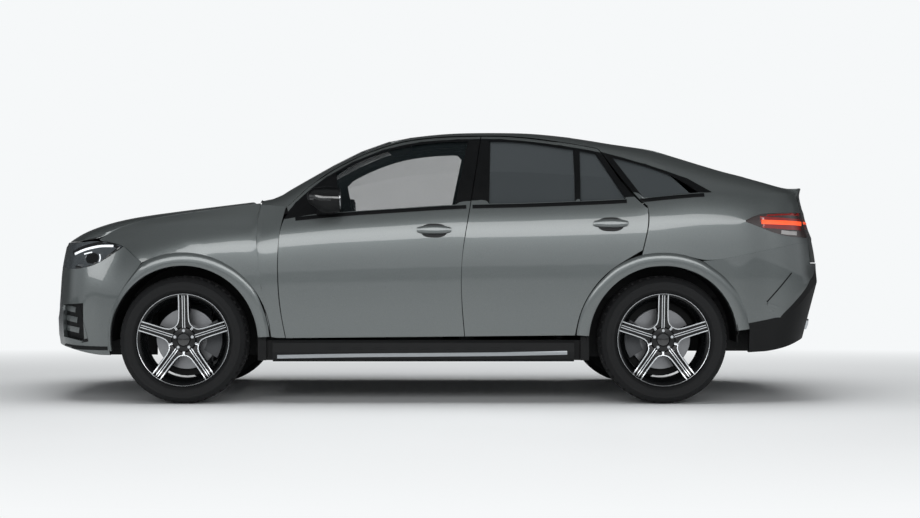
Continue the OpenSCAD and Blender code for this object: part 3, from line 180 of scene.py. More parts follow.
def make_materials():
    """All finishes of the vehicle by their short names."""
    dull = {"specular_ior_level": 0.22}
    glassy = {"coat_weight": 1.0, "coat_roughness": 0.02}
    bare = {"metallic": 1.0}
    lines = (1, 0.1, 1)
    return {
        # Metallic enamel: fine flakes under a glassy coat, drawn at 4 mm so that they show
        "paint": surface(
            "metallic_enamel", finish().paint, finish().paint_dark, 0.33, 4, metallic=0.62, coat_ior=1.5,
            **glassy),
        # Polished ABS: deep black with a sharp gloss
        "gloss_black": surface("polished_abs", "#0c0d0e", "#08090a", 0.06, 60, 0.03, **glassy),
        # Satin lacquer: window frames that stay black in bright light
        "frame_black": surface(
            "satin_black_lacquer", "#0d0e0f", "#090a0b", 0.38, 60, specular_ior_level=0.12),
        # Grained polypropylene: dull black
        "trim": surface("grained_polypropylene", finish().trim, "#0b0c0d", 0.58, 1.6, 0.06, 0.25, **dull),
        # Textured cabin lining: soft dark grey; the same grey also paints the shade in the door handles'
        # recesses
        "lining": surface("foam_backed_vinyl_and_painted_shade", "#2b2b2c", "#202021", 0.6, 1.2, 0.06, 0.2, **dull),
        # Vulcanised rubber: matt near-black
        "rubber": surface("vulcanised_rubber", "#191a1b", "#131314", 0.66, 2.2, 0.06, 0.3, **dull),
        # Dyed leather: pebbled and slightly shiny
        "leather": surface("dyed_leather", "#3a3736", "#2c2a29", 0.42, 3.5, 0.06, 0.5),
        # Powder-coated alloy: gloss black
        "alloy_black": surface(
            "powder_coated_alloy", "#0d0e0f", "#08090a", 0.2, 60, specular_ior_level=0.35),
        # Diamond-turned aluminium: bright with fine lines
        "machined": surface(
            "turned_aluminium", "#d9dbdd", "#bcbfc2", 0.26, 1.2, 0.08, 0.05, lines, **bare),
        # Anodised aluminium: satin silver with drawn lines
        "anodised": surface(
            "anodised_aluminium", "#a4a7aa", "#8d9093", 0.34, 2.0, 0.08, 0.05, lines, **bare),
        # Ground steel: brake discs with fine grinding lines
        "disc": surface("ground_steel", "#8f9092", "#747577", 0.36, 2.0, 0.08, 0.05, lines, **bare),
        # Cast iron: rough dark grey
        "cast": surface("cast_iron", "#55575a", "#434548", 0.6, 3.0, 0.06, 0.4),
        # Chromed steel: a near mirror
        "chrome": surface("chromed_steel", "#d4d6d8", "#c4c6c8", 0.07, 60, 0.03, **bare),
        # Float glass: see-through in front, nearly closed at the back, where its grey base colour is partly
        # a dark tint and partly a painted reflection of the bright hall
        "clear_glass": glazing("clear_float_glass", "#1c2325", 0.22, 0.85),
        "dark_glass": glazing("privacy_glass_and_painted_reflection", "#393d3f", 0.93, 0.99),
        # Black-chromed reflector: smoky mirror behind a clear cover
        "lamp_back": surface(
            "black_chromed_reflector", "#70767a", "#4e5357", 0.2, 40, metallic=0.6, **glassy),
        # Lamp bezel: black with a wet gloss
        "lamp_rim": surface("black_lamp_bezel", "#141516", "#0d0e0f", 0.12, 60, **glassy),
        # Acrylic lenses: red under a wet gloss, smoked at the border, clear over the reversing lamp
        "red_lens": surface("red_acrylic", finish().lens_red, "#74120e", 0.08, 30, 0.03, **glassy),
        "smoked_lens": surface("smoked_acrylic", "#3c2f2e", "#2b2221", 0.08, 40, 0.03, **glassy),
        "clear_lens": surface("clear_acrylic", "#a9a6a5", "#8f8c8b", 0.1, 30, 0.03, **glassy),
        # Frosted light guides: glow from within; the same glow also paints a glint on the rear headlamp
        # bracket, which is no lamp
        "white_glow_and_painted_glint": surface(
            "frosted_guide_and_painted_glint", "#f4f7fa", "#dfe4e8", 0.2, 8, emission_color=linear("#f4f7fa"),
            emission_strength=0.4),
        "red_guide": surface(
            "red_acrylic_guide", "#ff6a3c", "#f0401e", 0.2, 8, emission_color=linear("#ff5a30"),
            emission_strength=0.55),
        # Painted sheet: blank off-white plate
        "plate": surface("painted_blank_plate", "#e7e8e6", "#dcdddb", 0.35, 60),
    }


# Shapes

# Panel edges that turn by more degrees than this stay sharp, and corners this close are one
SHARP = 33
WELD = 0.02 * MM
# Triangles of a solid are joined to four-sided faces up to these angles
JOIN_FLAT = math.radians(38)
JOIN_SQUARE = math.radians(130)
# A side view draws rearward, an end view to the right; below this a direction counts as none
SIDEWAYS = 0.3
# Ovals: points round the edge, and the power that squares their ends
OVAL_POINTS = 32
BLUNTNESS = 0.77


def crease_sharp(bm, degrees=SHARP):
    """Smooth faces with creased edges where they turn by more than an angle."""
    angle = math.radians(degrees)
    crease = bm.edges.layers.float.get("crease_edge") or bm.edges.layers.float.new("crease_edge")
    for edge in bm.edges:
        if not edge.is_manifold or edge.calc_face_angle(0) > angle:
            edge.smooth = False
            edge[crease] = 1.0
    for face in bm.faces:
        face.smooth = True


def welded(node):
    """A solid of the frame as a mesh whose triangles share their corners."""
    bm = bmesh.new()
    bm.from_mesh(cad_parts[node].data)
    bmesh.ops.remove_doubles(bm, verts=bm.verts, dist=WELD)
    return bm


def copy_of(node):
    """A solid of the frame as a welded mesh of mostly four-sided faces."""
    bm = welded(node)
    bmesh.ops.join_triangles(
        bm, faces=bm.faces, angle_face_threshold=JOIN_FLAT, angle_shape_threshold=JOIN_SQUARE)
    return bm


def add_object(bm, name, looks):
    """A mesh as an object at the origin."""
    mesh = bpy.data.meshes.new(name)
    bm.to_mesh(mesh)
    bm.free()
    for look in looks:
        mesh.materials.append(look)
    thing = bpy.data.objects.new(name, mesh)
    bpy.context.scene.collection.objects.link(thing)
    return thing


def make_piece(bm, name, body, looks, replaced=None, levels=0):
    """A finished object that rides on a body."""
    piece = add_object(bm, name, [materials[look] for look in looks])
    if levels:
        smooth = piece.modifiers.new("Smooth form", "SUBSURF")
        smooth.levels = smooth.render_levels = levels
    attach(piece, body)
    if replaced:
        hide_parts(replaced)
        built[replaced] = piece
    return piece


def dress(node, body, name, look):
    """A smooth copy of a solid in one finish."""
    bm = copy_of(node)
    crease_sharp(bm)
    return make_piece(bm, name, body, [look], node, 2)


def middle_of(node):
    """The middle of a node's box."""
    low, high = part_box(node)
    return (Vector(low) + Vector(high)) / 2


def line_at(table, x):
    """Height of a line given by points, at x."""
    for (x0, z0), (x1, z1) in zip(table, table[1:]):
        if x <= x1:
            return z0 + (z1 - z0) * max(0.0, (x - x0) / (x1 - x0))
    return table[-1][1]


class Skin:
    """The outer surface of finished pieces, found by rays."""

    def __init__(self, *pieces):
        graph = bpy.context.evaluated_depsgraph_get()
        self.trees = [BVHTree.FromObject(piece, graph) for piece in pieces]

    def meet(self, start, direction, reach=1.0):
        """Where a ray meets the surface, or the surface's nearest place to the ray's end."""
        hits = [hit for hit in (tree.ray_cast(start, direction) for tree in self.trees) if hit[0]]
        if not hits:
            hits = [tree.find_nearest(start + direction * reach) for tree in self.trees]
        place, normal, _, _ = min(hits, key=lambda hit: hit[3])
        return place, normal if normal.dot(direction) < 0 else -normal


def wrap(bm, skin, centre, inward, flat=False):
    """Lays a piece drawn flat (x along, y out, z up) on a surface, seen along inward from centre."""
    centre = Vector(centre)
    inward = Vector(inward).normalized()
    right = inward.cross(UP).normalized()
    if right.x < -SIDEWAYS or (abs(right.x) < SIDEWAYS and right.y < 0):
        right = -right
    base, out = skin.meet(centre - inward, inward)
    tall = right.cross(out).normalized()
    tall = tall if tall.z > 0 else -tall
    for vert in bm.verts:
        across, proud, rise = vert.co
        if flat:
            vert.co = base + right * across + tall * rise + out * proud
        else:
            start = centre + right * across + UP * rise - inward
            place, normal = skin.meet(start, inward, (base - centre).dot(inward) + 1)
            vert.co = place + normal * proud
    bmesh.ops.recalc_face_normals(bm, faces=bm.faces)


def lay(bm, skin, centre, inward, name, body, look, flat=False, levels=0):
    """A piece drawn flat, wrapped on a surface and finished."""
    wrap(bm, skin, centre, inward, flat)
    make_piece(bm, name, body, [look], levels=levels)


def curve_at(points, s):
    """Place and direction on a smooth line through points, with s counted in points."""
    last = len(points) - 1
    k = min(last - 1, int(s))
    t = s - k
    place, ahead = [], []
    for a, b, c, d in zip(*(points[min(last, max(0, k + j))] for j in (-1, 0, 1, 2))):
        square = 2 * a - 5 * b + 4 * c - d
        cube = 3 * b - a - 3 * c + d
        place.append((2 * b + (c - a) * t + square * t**2 + cube * t**3) / 2)
        ahead.append(((c - a) + 2 * square * t + 3 * cube * t**2) / 2)
    return place, ahead


def ribbon(points, width, height, count=24, sunk=0.002):
    """A crowned slab along a smooth line of (along, up) points."""
    bm = bmesh.new()
    bmesh.ops.create_grid(bm, x_segments=count, y_segments=2, size=0.5)
    top = bmesh.ops.extrude_face_region(bm, geom=bm.faces[:])["geom"]
    bmesh.ops.translate(bm, verts=[v for v in top if isinstance(v, bmesh.types.BMVert)], vec=UP)
    for vert in bm.verts:
        along, across, level = vert.co
        place, ahead = curve_at(points, (along + 0.5) * (len(points) - 1))
        side = across * width / (math.hypot(*ahead) or 1.0)
        proud = height * (1 - abs(across) / 2) if level > 0.5 else -sunk
        vert.co = (place[0] - ahead[1] * side, proud, place[1] + ahead[0] * side)
    bmesh.ops.recalc_face_normals(bm, faces=bm.faces)
    crease_sharp(bm, degrees=50)
    return bm


def tube(rings):
    """A closed tube through rings of points, as a mesh of its own."""
    bm = bmesh.new()
    loft(bm, rings)
    bmesh.ops.recalc_face_normals(bm, faces=bm.faces)
    return bm


def blunt(share):
    """Squares off an oval's ends a little."""
    return math.copysign(abs(share) ** BLUNTNESS, share)


def oval(length, tall, proud, rim=0.25, sunk=0.003):
    """A domed button with blunt ends (x along, y out, z up)."""
    turns = [math.tau * k / OVAL_POINTS for k in range(OVAL_POINTS)]
    rings = []
    for share, out in (
        (1.0, -sunk), (1.0, proud * 0.7), (1 - rim * 0.5, proud * 0.95), (1 - rim * 1.4, proud)
    ):
        rings.append([
            (blunt(math.cos(t)) * share * length / 2, out, blunt(math.sin(t)) * share * tall / 2)
            for t in turns])
    bm = tube(rings)
    crease_sharp(bm, degrees=60)
    return bm


def way_at(turn):
    """Direction at a turn about Y, in degrees upwards from +X."""
    return Vector((math.cos(math.radians(turn)), 0, math.sin(math.radians(turn))))


def spun(bm, profile, steps, index=0):
    """A closed ring: a profile of (radius, along the axle) in millimetres, turned about Y."""
    verts = [bm.verts.new((0, y * MM, r * MM)) for r, y in profile]
    edges = [bm.edges.new((a, b)) for a, b in zip(verts, verts[1:] + verts[:1])]
    before = set(bm.faces)
    bmesh.ops.spin(
        bm, geom=verts + edges, cent=(0, 0, 0), axis=(0, 1, 0), angle=math.tau, steps=steps,
        use_merge=True)
    made = [face for face in bm.faces if face not in before]
    for face in made:
        face.material_index = index
    return made


def loft(bm, sections):
    """A closed tube through rings of points, grown from section to section; gives each strip's walls."""
    first = bm.faces.new([bm.verts.new(p) for p in sections[0]])
    face = first
    strips = []
    for section in sections[1:]:
        old = face
        grown = bmesh.ops.extrude_face_region(bm, geom=[face])["geom"]
        face = next(g for g in grown if isinstance(g, bmesh.types.BMFace))
        for vert, place in zip(face.verts, section):
            vert.co = place
        strips.append([next(f for f in edge.link_faces if f is not face) for edge in face.edges])
        if old is not first and old.is_valid:
            bmesh.ops.delete(bm, geom=[old], context="FACES_ONLY")
    return strips


# Body panels

# Lines in side view, metres; door frames, quarter windows and the rear skirt are black below theirs
BELT = (
    (-1.269, 1.100), (-0.926, 1.141), (-0.609, 1.172), (-0.306, 1.192), (0.102, 1.218), (0.536, 1.228),
    (0.944, 1.243), (1.249, 1.259), (1.449, 1.279), (1.600, 1.292),
)
FRAME_TOP = (
    (-0.930, 1.170), (-0.870, 1.252), (-0.720, 1.386), (-0.515, 1.507), (-0.309, 1.586), (-0.100, 1.627),
    (0.110, 1.641), (0.386, 1.643), (0.756, 1.601), (1.000, 1.553),
)
QUARTER_BORDER = ((1.00, 1.560), (1.29, 1.474), (1.50, 1.398), (1.66, 1.312))
SKIRT = ((1.70, 0.440), (2.10, 0.520), (2.30, 0.740), (2.50, 0.960))
# The black begins this far below the belt, and a cut along a line goes this far past its ends
BELT_EDGE = 0.004
CUT_REACH = 0.02
# A face looks inward when it turns its back to the cabin's core: a line on the middle plane
CORE_X = (-1.5, 1.6)
CORE_TOP = 0.95
INWARD = -0.25
PLAIN_PANELS = (
    ("roof", "roof_skin"), ("front_fenders", "fender_skins"), ("front_bumper", "front_bumper_skin"),
    ("arch_trims", "arch_mouldings"),
)


def faces_inward(face):
    """Does a face look towards the cabin?"""
    centre = face.calc_center_median()
    core = Vector((min(CORE_X[1], max(CORE_X[0], centre.x)), 0, min(CORE_TOP, centre.z)))
    return face.normal.dot((centre - core).normalized()) < INWARD


def dress_panel(node, body, name, black=None, line=(), black_look="frame_black"):
    """A smooth copy of a sheet panel: paint outside, lining inside, black where a rule says so."""
    bm = copy_of(node)
    for (x0, z0), (x1, z1) in zip(line, line[1:]):
        near = [f for f in bm.faces if any(x0 - CUT_REACH < v.co.x < x1 + CUT_REACH for v in f.verts)]
        geom = {g for f in near for g in (f, *f.edges, *f.verts)}
        bmesh.ops.bisect_plane(
            bm, geom=list(geom), dist=0.1 * MM, plane_co=(x0, 0, z0), plane_no=(z0 - z1, 0, x1 - x0))
    bm.normal_update()
    for face in bm.faces:
        centre = face.calc_center_median()
        face.material_index = 2 if faces_inward(face) else 1 if black and black(centre) else 0
    crease_sharp(bm)
    make_piece(bm, name, body, ["paint", black_look, "lining"], node, 2)


def above_belt(centre):
    return centre.z > line_at(BELT, centre.x) - BELT_EDGE


def door_frame(centre):
    """The black frame of a door window, below the painted edge of the roof."""
    return above_belt(centre) and centre.z < line_at(FRAME_TOP, centre.x)


def quarter_surround(centre):
    """The black border round the glass behind the rear door."""
    within = QUARTER_BORDER[0][0] < centre.x < QUARTER_BORDER[-1][0]
    return within and above_belt(centre) and centre.z < line_at(QUARTER_BORDER, centre.x)


def below_skirt(centre):
    """The black skirt of the rear bumper, below a line that rises to the tail."""
    return centre.z < line_at(SKIRT, centre.x)


class VEHICLE_OT_panels(bpy.types.Operator):
    """Painted panels, with black window frames and cabin lining"""

    bl_idname = "vehicle.panels"
    bl_label = "Body panels"

    def execute(self, context):
        materials.update(make_materials())
        for side in SIDES:
            dress_panel(
                "body_side_" + side, "body", "quarter_and_rail_" + side, quarter_surround, QUARTER_BORDER)
            for end in ("front", "rear"):
                dress_panel(
                    f"door_{end}_{side}", f"{end}_door_{side}", f"door_panel_{end}_{side}", door_frame,
                    FRAME_TOP)
        for node, name in PLAIN_PANELS:
            dress_panel(node, "body", name)
        dress_panel("rear_bumper", "body", "rear_bumper_skin", below_skirt, SKIRT, "trim")
        dress_panel("bonnet", "bonnet_lid", "bonnet_skin")
        dress_panel("tailgate", "tailgate_lid", "tailgate_skin")
        dress("rear_valance", "body", "rear_valance_skin", "trim")
        return {"FINISHED"}


# Solids that show as they are

PLAIN_LOOKS = {
    "trim": ("floor_pan", "running_boards", "grille"),
    "cast": (
        "subframes", "engine_block", "rear_hub_carriers", "knuckle_left", "knuckle_right",
        "exhaust_silencer"),
    "lining": ("dashboard",),
    "leather": ("steering_wheel",),
    "clear_glass": ("fixed_windows", "window_front_left", "window_front_right"),
    "dark_glass": ("tailgate_window", "window_rear_left", "window_rear_right"),
}
# The roof glass and the quarter windows lie behind this and are tinted, the windscreen is clear
TINTED_X = -0.25


class VEHICLE_OT_frame_finish(bpy.types.Operator):
    """Finishes of the solids that show as they are"""

    bl_idname = "vehicle.frame_finish"
    bl_label = "Chassis, glass and cabin finishes"

    def execute(self, context):
        for look, nodes in PLAIN_LOOKS.items():
            for node in nodes:
                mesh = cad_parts[node].data
                mesh.materials.clear()
                mesh.materials.append(materials[look])
        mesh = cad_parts["fixed_windows"].data
        mesh.materials.append(materials["dark_glass"])
        for face in mesh.polygons:
            face.material_index = 1 if face.center.x > TINTED_X else 0
        return {"FINISHED"}


# Wheels

# Turned profiles, millimetres: radius, place along the axle
BARREL = (
    (283, -115), (283.5, -108), (267, -105), (266, -76), (250, -56), (250, 44), (266, 64), (267, 105),
    (283, 108), (283.5, 113), (278, 115), (272, 112), (262, 101), (256, 92), (255, 66), (241, 46),
    (241, -58), (257, -78), (258, -112),
)
BRIGHT_LIP = ((283.6, 109), (283.9, 114), (281.5, 115.6), (278.6, 114.2), (279, 112.6), (281, 113))
HUB = ((1, 40), (80, 40), (81, 70), (70, 82), (52, 85), (42, 86), (40, 80), (1, 80))
CAP = ((0.5, 80), (38.5, 80), (38.5, 87), (36, 89.5), (20, 91), (0.5, 91.5))
BRAKE_DISC = (
    (60, -77), (187, -77), (187.5, -75), (187.5, -49), (187, -47), (92, -47), (90, -18), (60, -18))
TYRE_WALL = (
    (267, 87), (267, 105), (286, 106), (291, 113), (297, 124), (304, 129), (306, 131), (309, 131),
    (311, 130.5), (325, 135), (336, 137), (348, 136), (350, 137.2), (353, 137), (355, 134.5), (368, 124),
    (379, 112), (385, 103), (388, 90), (389.4, 78),
)
TYRE_TREAD = (
    (390.0, 62), (390.2, 52), (382.5, 50.5), (382.5, 42.5), (390.4, 41), (390.5, 21), (382.5, 19.5),
    (382.5, 11.5), (390.5, 10),
)
TYRE_INSIDE = ((300, 107), (335, 121), (360, 103), (374, 71))
TYRE_STEPS = 144
# Cuts in the tread's shoulders and ribs, millimetres: least radius, band along the axle, every how many
# steps, by how many steps the inner half is shifted, and depth
TREAD_CUTS = ((381, 62, 108, 3, 0, 4.5), (389, 20, 42, 4, 2, 4.0))
CUT_BORDER = 1.6
# Spokes, millimetres: stations from the hub to the lip and their outer face; past the hub's radius a spoke
# narrows within the flare, and towards the rim it gets thinner
SPOKES = 5
SPOKE_RADII = (58, 80, 92, 108, 130, 170, 220, 260, 272, 278.5)
SPOKE_FACE = (78, 82, 84.5, 87, 90, 94, 99, 106, 113.2, 115.3)
HUB_RADIUS = 80
FLARE = 17
SPOKE_DEPTH = 34
RIM_RADIUS = 285
# Walls of a spoke's section that are turned bright, counted along its outline
TURNED = (2, 6, 10, 14)
# Wheel bolts, metres: place of the upper one, radii and length
BOLT_SEAT = (0, 0.0855, 0.056)
BOLT_RADII = (0.0105, 0.0095)
BOLT_LENGTH = 0.014
# Sheet shields behind the brake discs, millimetres: radii, place along the axle and thickness
DUST_SHIELD_RADII = (28, 232)
DUST_SHIELD_Y = -80
DUST_SHIELD_THICK = 1
# Step, and first and last turn before a left wheel is turned about, in degrees; the front shields swing with
# the steering and close only the lower part, and the rear ones are open behind the axle
DUST_SHIELD_STEP = 10
DUST_SHIELD_SPANS = {
    "front_left": (240, 300), "front_right": (240, 300), "rear_left": (235, 525), "rear_right": (15, 305)}


def spoke_half_width(r):
    """Spokes flare towards the hub, where neighbours meet in a V."""
    root, tip = sizes().spoke_root / MM, sizes().spoke_tip / MM
    if r <= HUB_RADIUS:
        return root * r / HUB_RADIUS
    return tip + (root - tip) * math.exp(-(r - HUB_RADIUS) / FLARE)


def spoke_section(r, face):
    """Outline across a spoke: turned edge lines and two turned ribs, with black channels between them."""
    h = spoke_half_width(r)
    half = [
        (3, face - 6), (4.2, face - 1), (9, face - 1), (11, face - 8), (h - 9.5, face - 8), (h - 7.5, face),
        (h - 1, face), (h, face - 3), (h + 5, face - min(SPOKE_DEPTH, (RIM_RADIUS - r) / 2))]
    return [Vector((t, y, r)) * MM for t, y in [(-t, y) for t, y in reversed(half)] + half]


def wheel_mesh():
    """One rim with its spokes, hub, bolts, plain cap and brake disc, outer face to +Y."""
    bm = bmesh.new()
    for profile, steps, index in (
        (BARREL, 96, 0), (BRIGHT_LIP, 96, 1), (HUB, 60, 0), (CAP, 48, 3), (BRAKE_DISC, 72, 2)
    ):
        spun(bm, profile, steps, index)
    for k in range(SPOKES):
        turn = Matrix.Rotation(math.tau * k / SPOKES, 4, "Y")
        sections = [[turn @ p for p in spoke_section(r, y)] for r, y in zip(SPOKE_RADII, SPOKE_FACE)]
        for walls in loft(bm, sections):
            for j, wall in enumerate(walls):
                wall.material_index = 1 if j in TURNED else 0
        seat = turn @ Matrix.Translation(BOLT_SEAT) @ Matrix.Rotation(-math.pi / 2, 4, "X")
        bolt = bmesh.ops.create_cone(
            bm, cap_ends=True, segments=6, radius1=BOLT_RADII[0], radius2=BOLT_RADII[1], depth=BOLT_LENGTH,
            matrix=seat)
        for face in {f for v in bolt["verts"] for f in v.link_faces}:
            face.material_index = 1
    bmesh.ops.recalc_face_normals(bm, faces=bm.faces)
    crease_sharp(bm, degrees=28)
    return bm


def tyre_mesh():
    """Tyre with bead, ribbed wall, grooved tread and cut shoulder blocks."""
    bm = bmesh.new()
    outer = TYRE_WALL + TYRE_TREAD
    profile = [
        *outer, *[(r, -y) for r, y in reversed(outer)], *[(r, -y) for r, y in TYRE_INSIDE],
        *reversed(TYRE_INSIDE)]
    faces = spun(bm, profile, TYRE_STEPS)
    bmesh.ops.recalc_face_normals(bm, faces=bm.faces)
    for least, near, far, every, shift, depth in TREAD_CUTS:
        chosen = []
        for face in faces:
            centre = face.calc_center_median()
            radius, along = math.hypot(centre.x, centre.z) / MM, abs(centre.y) / MM
            step = math.floor(math.atan2(centre.z, centre.x) * TYRE_STEPS / math.tau)
            first = shift if centre.y < 0 else 0
            if radius > least and near < along < far and step % every == first:
                chosen.append(face)
        bmesh.ops.inset_individual(bm, faces=chosen, thickness=CUT_BORDER * MM, depth=-depth * MM)
    crease_sharp(bm, degrees=40)
    return bm


def dust_shield_mesh(first, last):
    """A part of a sheet ring behind a brake disc, between two turns in degrees."""
    inner, outer = DUST_SHIELD_RADII
    low, high = DUST_SHIELD_Y, DUST_SHIELD_Y + DUST_SHIELD_THICK
    rings = []
    for turn in range(first, last + 1, DUST_SHIELD_STEP):
        corners = ((inner, low), (outer, low), (outer, high), (inner, high))
        rings.append([(way_at(turn) * r + Vector((0, y, 0))) * MM for r, y in corners])
    return tube(rings)


class VEHICLE_OT_wheels(bpy.types.Operator):
    """Star-spoke wheels with their brake discs, tyres and dust shields"""

    bl_idname = "vehicle.wheels"
    bl_label = "Wheels and tyres"

    def execute(self, context):
        for place in WHEELS:
            centre = middle_of("tyre_" + place)
            end, side = place.split("_")
            turn = Matrix.Translation(centre) @ Matrix.Rotation(math.pi if side == "left" else 0, 4, "Z")
            wheel, tyre, shield = wheel_mesh(), tyre_mesh(), dust_shield_mesh(*DUST_SHIELD_SPANS[place])
            for bm in (wheel, tyre, shield):
                bm.transform(turn)
            body = "wheel_" + place
            make_piece(
                wheel, "star_wheel_" + place, body, ["alloy_black", "machined", "disc", "gloss_black"],
                "rim_" + place)
            make_piece(tyre, "road_tyre_" + place, body, ["rubber"], "tyre_" + place)
            carrier = "upright_" + side if end == "front" else "body"
            make_piece(shield, "dust_shield_" + place, carrier, ["trim"])
        return {"FINISHED"}


# Wheel housings

# Splash shields inside the wheel housings: name, x range, distance from the middle and lower edge, metres
SHIELDS = (
    ("front_ahead", -2.15, -1.80, 0.457, 0.27), ("front_behind", -1.34, -1.082, 0.457, 0.27),
    ("rear_ahead", 0.90, 1.22, 0.632, 0.27), ("rear_behind", 1.53, 1.97, 0.632, 0.305),
)
SHIELD_TOP = 0.645
# Lips that close the rear wheel housings to the quarter panels: radius, inner end, usual width, and first
# turn, last turn and step in degrees
LIP_RADIUS = 0.4575
LIP_INNER = 0.894
LIP_WIDTH = 0.05
LIP_TURNS = (4, 118, 3)
# Thickness of the shields and the lips
SHEET = 4 * MM


def housing_lip_mesh(axle, sign, panel):
    """A strip round a rear wheel housing that reaches out to the quarter panel."""
    rings = []
    for turn in range(*LIP_TURNS):
        way = way_at(turn)
        foot = Vector((axle.x, sign * LIP_INNER, axle.z)) + way * (LIP_RADIUS + SHEET / 2)
        hit, _ = panel.meet(foot, Vector((0, sign, 0)), LIP_WIDTH)
        outer = Vector((0, hit.y - foot.y - sign * MM, 0))
        rim = way * SHEET / 2
        rings.append([foot - rim, foot - rim + outer, foot + rim + outer, foot + rim])
    return tube(rings)


class VEHICLE_OT_shields(bpy.types.Operator):
    """Splash shields and lips that close the wheel housings"""

    bl_idname = "vehicle.shields"
    bl_label = "Splash shields"

    def execute(self, context):
        axle = middle_of("tyre_rear_left")
        for side, sign in SIDES.items():
            lip = housing_lip_mesh(axle, sign, Skin(built["body_side_" + side]))
            make_piece(lip, "housing_lip_" + side, "body", ["trim"])
        for name, x0, x1, y, foot in SHIELDS:
            for side, sign in SIDES.items():
                bm = bmesh.new()
                middle = Matrix.Translation(((x0 + x1) / 2, sign * y, (foot + SHIELD_TOP) / 2))
                shape = Matrix.Diagonal((x1 - x0, SHEET, SHIELD_TOP - foot, 1))
                bmesh.ops.create_cube(bm, size=1, matrix=middle @ shape)
                make_piece(bm, f"splash_shield_{name}_{side}", "body", ["trim"])
        return {"FINISHED"}


# Doors, mirrors and side trim, metres

HANDLES = (("front", -0.030, 1.062), ("rear", 1.048, 1.100))
HANDLE_TALL = 0.052
HANDLE_PROUD = 0.030
# Under each handle a dark oval is painted shade for its recess: its share of the handle's length, its height
# and its drop
RECESS_SHADE_SHARE = 0.74
RECESS_SHADE_TALL = 0.086
RECESS_SHADE_DROP = 0.004
# Black mouldings below the windows: node, body, name and ends along the vehicle
MOULDINGS = (
    ("door_front_{}", "front_door_{}", "front", -0.880, 0.168),
    ("door_rear_{}", "rear_door_{}", "rear", 0.206, 1.150),
    ("body_side_{}", "body", "quarter", 1.232, 1.625),
)
MOULDING_WIDTH = 0.022
MOULDING_DROP = 0.0155
# Mirrors: below the split they are plain trim
MIRROR_SPLIT_Z = 1.245
MIRROR_GLASS = (0.150, 0.115)
MIRROR_GLASS_Z = 1.246
MIRROR_GLASS_OUT = 0.020
REPEATER = ((-0.085, 0.0), (-0.02, 0.004), (0.05, 0.002))
REPEATER_BACK = 0.11
REPEATER_Z = 1.252
# Running boards: a bright rail, and studs in a row
STEP_RAIL = ((-0.90, -0.012), (-0.45, -0.004), (0.0, 0.0), (0.45, 0.004), (0.87, 0.012))
STEP_RAIL_PLACE = (-0.0875, 0.300)
STUDS = 9
STUD_SIZE = (0.075, 0.010)
STUD_FIRST_X = -0.64
STUD_PITCH = 0.14
STUD_Z = 0.338


def lay_handles(side, inward):
    """Door handles over dark ovals of painted shade where their recesses would be."""
    length = sizes().handle_length
    for end, x, z in HANDLES:
        skin = Skin(built[f"door_{end}_{side}"])
        body = f"{end}_door_{side}"
        # A dark oval in the lining colour is painted shade where the handle's recess would be
        recess_shade = oval(length * RECESS_SHADE_SHARE, RECESS_SHADE_TALL, 0.0022, 0.12)
        lay(recess_shade, skin, (x, SIDES[side], z - RECESS_SHADE_DROP), inward, f"handle_cup_{end}_{side}", body, "lining")
        bar = oval(length, HANDLE_TALL, HANDLE_PROUD, 0.5, 0.004)
        lay(bar, skin, (x, SIDES[side], z), inward, f"handle_{end}_{side}", body, "paint",
            levels=1)


def lay_mouldings(side, inward):
    """Black mouldings along the belt."""
    for node, body, name, low, high in MOULDINGS:
        places = [low + (high - low) * k / 6 for k in range(7)]
        middle = Vector((places[3], SIDES[side], line_at(BELT, places[3])))
        points = [(x - middle.x, line_at(BELT, x) - MOULDING_DROP - middle.z) for x in places]
        skin = Skin(built[node.format(side)])
        lay(ribbon(points, MOULDING_WIDTH, 0.004, 36), skin, middle, inward, f"belt_moulding_{name}_{side}",
            body.format(side), "frame_black")


def make_mirror(side, inward):
    """A mirror's housing with its glass and its repeater strip."""
    node, body, sign = "mirror_" + side, "front_door_" + side, SIDES[side]
    bm = copy_of(node)
    crease_sharp(bm, degrees=55)
    for face in bm.faces:
        face.material_index = 1 if face.calc_center_median().z < MIRROR_SPLIT_Z else 0
    housing = make_piece(bm, "mirror_housing_" + side, body, ["gloss_black", "trim"], node, 1)
    low, high = (Vector(c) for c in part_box(node))
    place = (high.x, (low.y + high.y) / 2 + sign * MIRROR_GLASS_OUT, MIRROR_GLASS_Z)
    lay(oval(*MIRROR_GLASS, 0.002, 0.1, 0.001), Skin(housing), place, (-1, 0, 0), "mirror_glass_" + side,
        body, "chrome", flat=True)
    lay(ribbon(REPEATER, 0.010, 0.0016, 16), Skin(housing), (low.x + REPEATER_BACK, sign, REPEATER_Z),
        inward, "mirror_repeater_" + side, body, "lamp_rim")


def lay_step(side, inward):
    """The rail and studs of a running board."""
    boards = Skin(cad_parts["running_boards"])
    x, z = STEP_RAIL_PLACE
    lay(ribbon(STEP_RAIL, 0.022, 0.004, 40), boards, (x, SIDES[side], z), inward, "step_rail_" + side,
        "body", "anodised")
    for k in range(STUDS):
        place = (STUD_FIRST_X + k * STUD_PITCH, SIDES[side], STUD_Z)
        lay(oval(*STUD_SIZE, 0.0025, 0.3, 0.001), boards, place, inward, f"step_stud_{side}_{k}", "body",
            "rubber")


class VEHICLE_OT_side_trim(bpy.types.Operator):
    """Door handles, belt mouldings, mirrors and running boards' rails"""

    bl_idname = "vehicle.side_trim"
    bl_label = "Handles, mirrors and steps"

    def execute(self, context):
        for side, sign in SIDES.items():
            for make in (lay_handles, lay_mouldings, make_mirror, lay_step):
                make(side, (0, -sign, 0))
        return {"FINISHED"}


# Lines on the sides of lamps and bumpers: name, finish, width, how proud, and (x, z) points, metres

